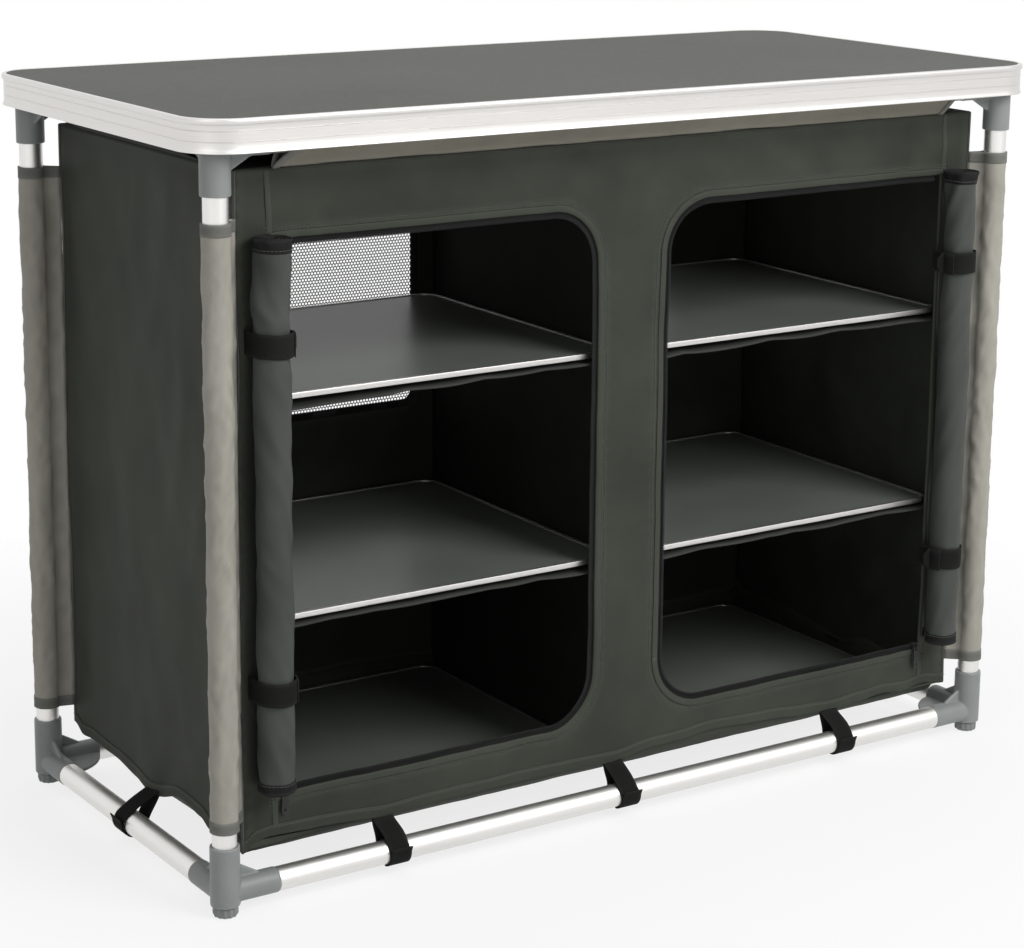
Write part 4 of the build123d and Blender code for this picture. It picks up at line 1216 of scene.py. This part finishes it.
# Zip sliders and pulls. Two lacquered die-cast sliders, parked at the lower outer
# ends of the zips: two plates round the coil, a post and a bridge. A slotted tab
# hangs on each bridge.
black_lacquer = moulded("black_lacquer", (0.012, 0.012, 0.012), (0.024, 0.024, 0.024), 0.42, 0.2)
slider_out, bar_y, bar_z, bridge_half = 0.4245, -0.2025, 0.1124, 0.0012
plate_outline = metres((4.8, 109.6), (4.8, 116.2), (0, 117.2), (-4.8, 117), (-2.64, 112.9), (-4.8, 108.8), (0, 108.6))
post_outline = metres((0.96, 111.8), (0.96, 114), (-2.4, 112.9))
for name, side in sides.items():
    x = side * slider_out
    work = bmesh.new()
    for outline, near, far, rounding in (
        (plate_outline, -0.2003, -0.1992, 0.00025),
        (plate_outline, -0.1964, -0.1953, 0.00025),
        (post_outline, -0.1993, -0.1963, 0.0002),
    ):
        ring = [work.verts.new((x + side * out, near, z)) for out, z in outline]
        drawn_out = bmesh.ops.extrude_face_region(work, geom=[work.faces.new(ring)])["geom"]
        moved = [part for part in drawn_out if isinstance(part, bmesh.types.BMVert)]
        bmesh.ops.translate(work, verts=moved, vec=(0.0, far - near, 0.0))
        edges = list({edge for vert in ring + moved for edge in vert.link_edges})
        bmesh.ops.bevel(work, geom=edges, offset=rounding, segments=2, affect="EDGES", profile=0.6)
    arch = []
    for step in range(13):
        angle = math.pi * step / 12
        arch.append((-0.2000 - 0.0047 * math.sin(angle) ** 0.6, bar_z + 0.0034 * math.cos(angle)))
    for first, last in zip(arch, arch[1:]):
        left, right = x - bridge_half, x + bridge_half
        ring = [(left, *first), (right, *first), (right, *last), (left, *last)]
        low = [work.verts.new(place) for place in ring]
        drops = [(0.0008 * (b < -0.2005), 0.0007 if c < bar_z else -0.0007) for _, b, c in ring]
        high = [work.verts.new((a, b + in_y, c + in_z)) for (a, b, c), (in_y, in_z) in zip(ring, drops)]
        work.faces.new(low)
        work.faces.new(high[::-1])
        for index in range(4):
            after = (index + 1) % 4
            work.faces.new((low[after], low[index], high[index], high[after]))
    slider = closed_piece(f"zip_slider_{name}", work)
    put(slider, black_lacquer, ["zip_sliders"], crisp=50.0)

    top, foot = bar_z + 0.0007, bar_z - 0.0258
    half_tab = [(0.0032, foot, 0.0022), (0.0040, foot + 0.0080, 0.004), (0.0030, top - 0.0090, 0.004)]
    half_tab += [(0.0040, top - 0.0050, 0.001), (0.0040, top, 0.0008)]
    whole_tab = half_tab + [(-out, z, radius) for out, z, radius in reversed(half_tab)]
    whole_tab = whole_tab[-1:] + whole_tab[:-1]
    tab_corners, tab_radii = [(x + out, z) for out, z, _ in whole_tab], [bend for _, _, bend in whole_tab]
    outline = round_corners(tab_corners, tab_radii, 0.0007)
    slot = rectangle(x - 0.0026, x + 0.0026, top - 0.0051, top - 0.0016, 0.0008, 0.0006)
    hole = rectangle(x - 0.0014, x + 0.0014, foot + 0.0034, foot + 0.0062, 0.0012, 0.0005)
    tab_name = f"zip_pull_tab_{name}"
    hang = lambda a, b: Vector((a, bar_y, b))
    tab = cut_cloth(tab_name, outline, [slot, hole], hang, 0.0012, thick=0.0013)
    modified(tab, "BEVEL", width=0.0003, segments=2, limit_method="ANGLE")
    put(meshed(tab), black_lacquer, [f"zip_pull_{name}"], f"zip_pull_{name}", 40.0)

# Rail straps. Eight black webbing straps tie the cabinet's bottom edge to the lower
# rails. Each goes down behind its rail and closes on itself outside, its free end
# turned up.
lower_level = 0.0251
rails = rails_at(lower_level)
strap_reaches = {"long": 0.0151, "short": 0.0281}
strap_ways = {kind: round_tube(reach, 0.0335, 0.0131, 22, 8) for kind, reach in strap_reaches.items()}
straps = [(where, shift, "long") for where in ("front", "back") for shift in (-0.306, -0.012, 0.296)]
straps += [(where, 0.0, "short") for where in sides]
strap_shares = [2 * step / 8 - 1 for step in range(9)]
for number, (where, shift, kind) in enumerate(straps):
    way, seed, rows = strap_ways[kind], 111.0 + 5 * number, []
    run = lengths([offset for offset, _ in way])
    for index, (offset, outward) in enumerate(way):
        share, row = index / (len(way) - 1), []
        calm = smooth(min(share, 1 - share) / 0.16)
        slide = shift + 0.0022 * folds(share, 0.0, seed, 0.3, 1.0) * calm + 0.0050 * calm - 0.0025
        for wide in strap_shares:
            cup = 0.0006 * folds(share, wide, seed + 2, 0.25, 0.8)
            moved = offset + outward * (0.0003 + abs(cup)) * calm
            out = webbing_half * wide
            row.append((by_rail(rails[where], out + slide, moved), (out, run[index])))
        rows.append(row)
    strap = put(woven_rows(f"rail_strap_{where}_{number + 1}", rows, 0.0010), webbing, ["rail_straps"])
    rows = []
    for index in range(25):
        radius, lift = 0.0146 + 0.0004 * max(0, index - 14) / 6, 0.0016 * max(0, index - 20)
        moved = heading(math.radians(268 - 92 * min(index, 20) / 20)) * (radius + lift * 0.35) + Vector((0.0, lift))
        places = [webbing_half * wide for wide in strap_shares]
        spots = [by_rail(rails[where], shift + out + 0.0034, moved) for out in places]
        rows.append([(spot, (out, index * 0.0013)) for spot, out in zip(spots, places)])
    strap_end = woven_rows(f"rail_strap_end_{where}_{number + 1}", rows, 0.0010, True)
    put(strap_end, webbing)


# Worktop board. A board with a dark grey laminate that has a fine linen print under
# a satin face. It drops into the edge profile's rebate.
worktop_laminate, tree, bsdf, at = shader("worktop_laminate")
linen = []
for stretch in ((520.0, 40.0, 1.0), (40.0, 520.0, 1.0)):
    lined = node(tree, "ShaderNodeMapping", {"Vector": at, "Scale": stretch}).outputs["Vector"]
    linen.append(blotches(tree, lined, 2.2, 3.0, 0.6))
weave, cloud = maths(tree, "MULTIPLY", *linen), blotches(tree, at, 3.5)
print_colour = shade(tree, weave, (0.067, 0.0685, 0.061), (0.102, 0.104, 0.093), 0.16, 0.36)
cloud_colour = shade(tree, cloud, (0.92, 0.92, 0.92), (1.0, 1.0, 1.0))
tinted = mixed(tree, 1.0, print_colour, cloud_colour, blend_type="MULTIPLY")
paint(tree, bsdf, tinted, spread(tree, cloud, 0.42, 0.56), 0.06)
relief(tree, bsdf, weave, 0.00005, 0.35)
finish_cad("worktop_board", worktop_laminate)

# Worktop edge. An extruded aluminium profile, bent round the board in one length and
# cut at the back: a lip over the board, a bead, a plain band with two fine grooves
# and a flare.
rim_section = metres((-5, -0.3), (-4.7, 0), (-1.6, 0), (-0.8, -0.3), (-0.3, -0.8), (0, -1.6), (0, -4.6))
rim_section += metres((-0.2, -5.2), (-0.7, -5.7), (-1.6, -6.4), (-1.8, -7.1))
for groove in (-12, -22.2):
    rim_section += metres((-1.8, groove + 0.5), (-2.2, groove + 0.2), (-2.2, groove - 0.2), (-1.8, groove - 0.5))
rim_section += metres((-1.8, -28.6), (-1.4, -30), (-0.8, -31.4), (-0.4, -32.4), (-0.5, -33))
rim_section += metres((-2.8, -33), (-3.2, -31.6), (-3.2, -14.4), (-9, -14.4))
rim_section += metres((-9, -13.2), (-3.2, -13.2), (-3.2, -1), (-5, -1))
worktop_aluminium = brushed("worktop_aluminium", "xy", (0.66, 0.645, 0.625), 0.36)
rim = edge_profile("worktop_rim", "worktop_edge", 0.050, rim_section, 20)
put(rim, worktop_aluminium, ["worktop_edge"], "worktop", 38.0)
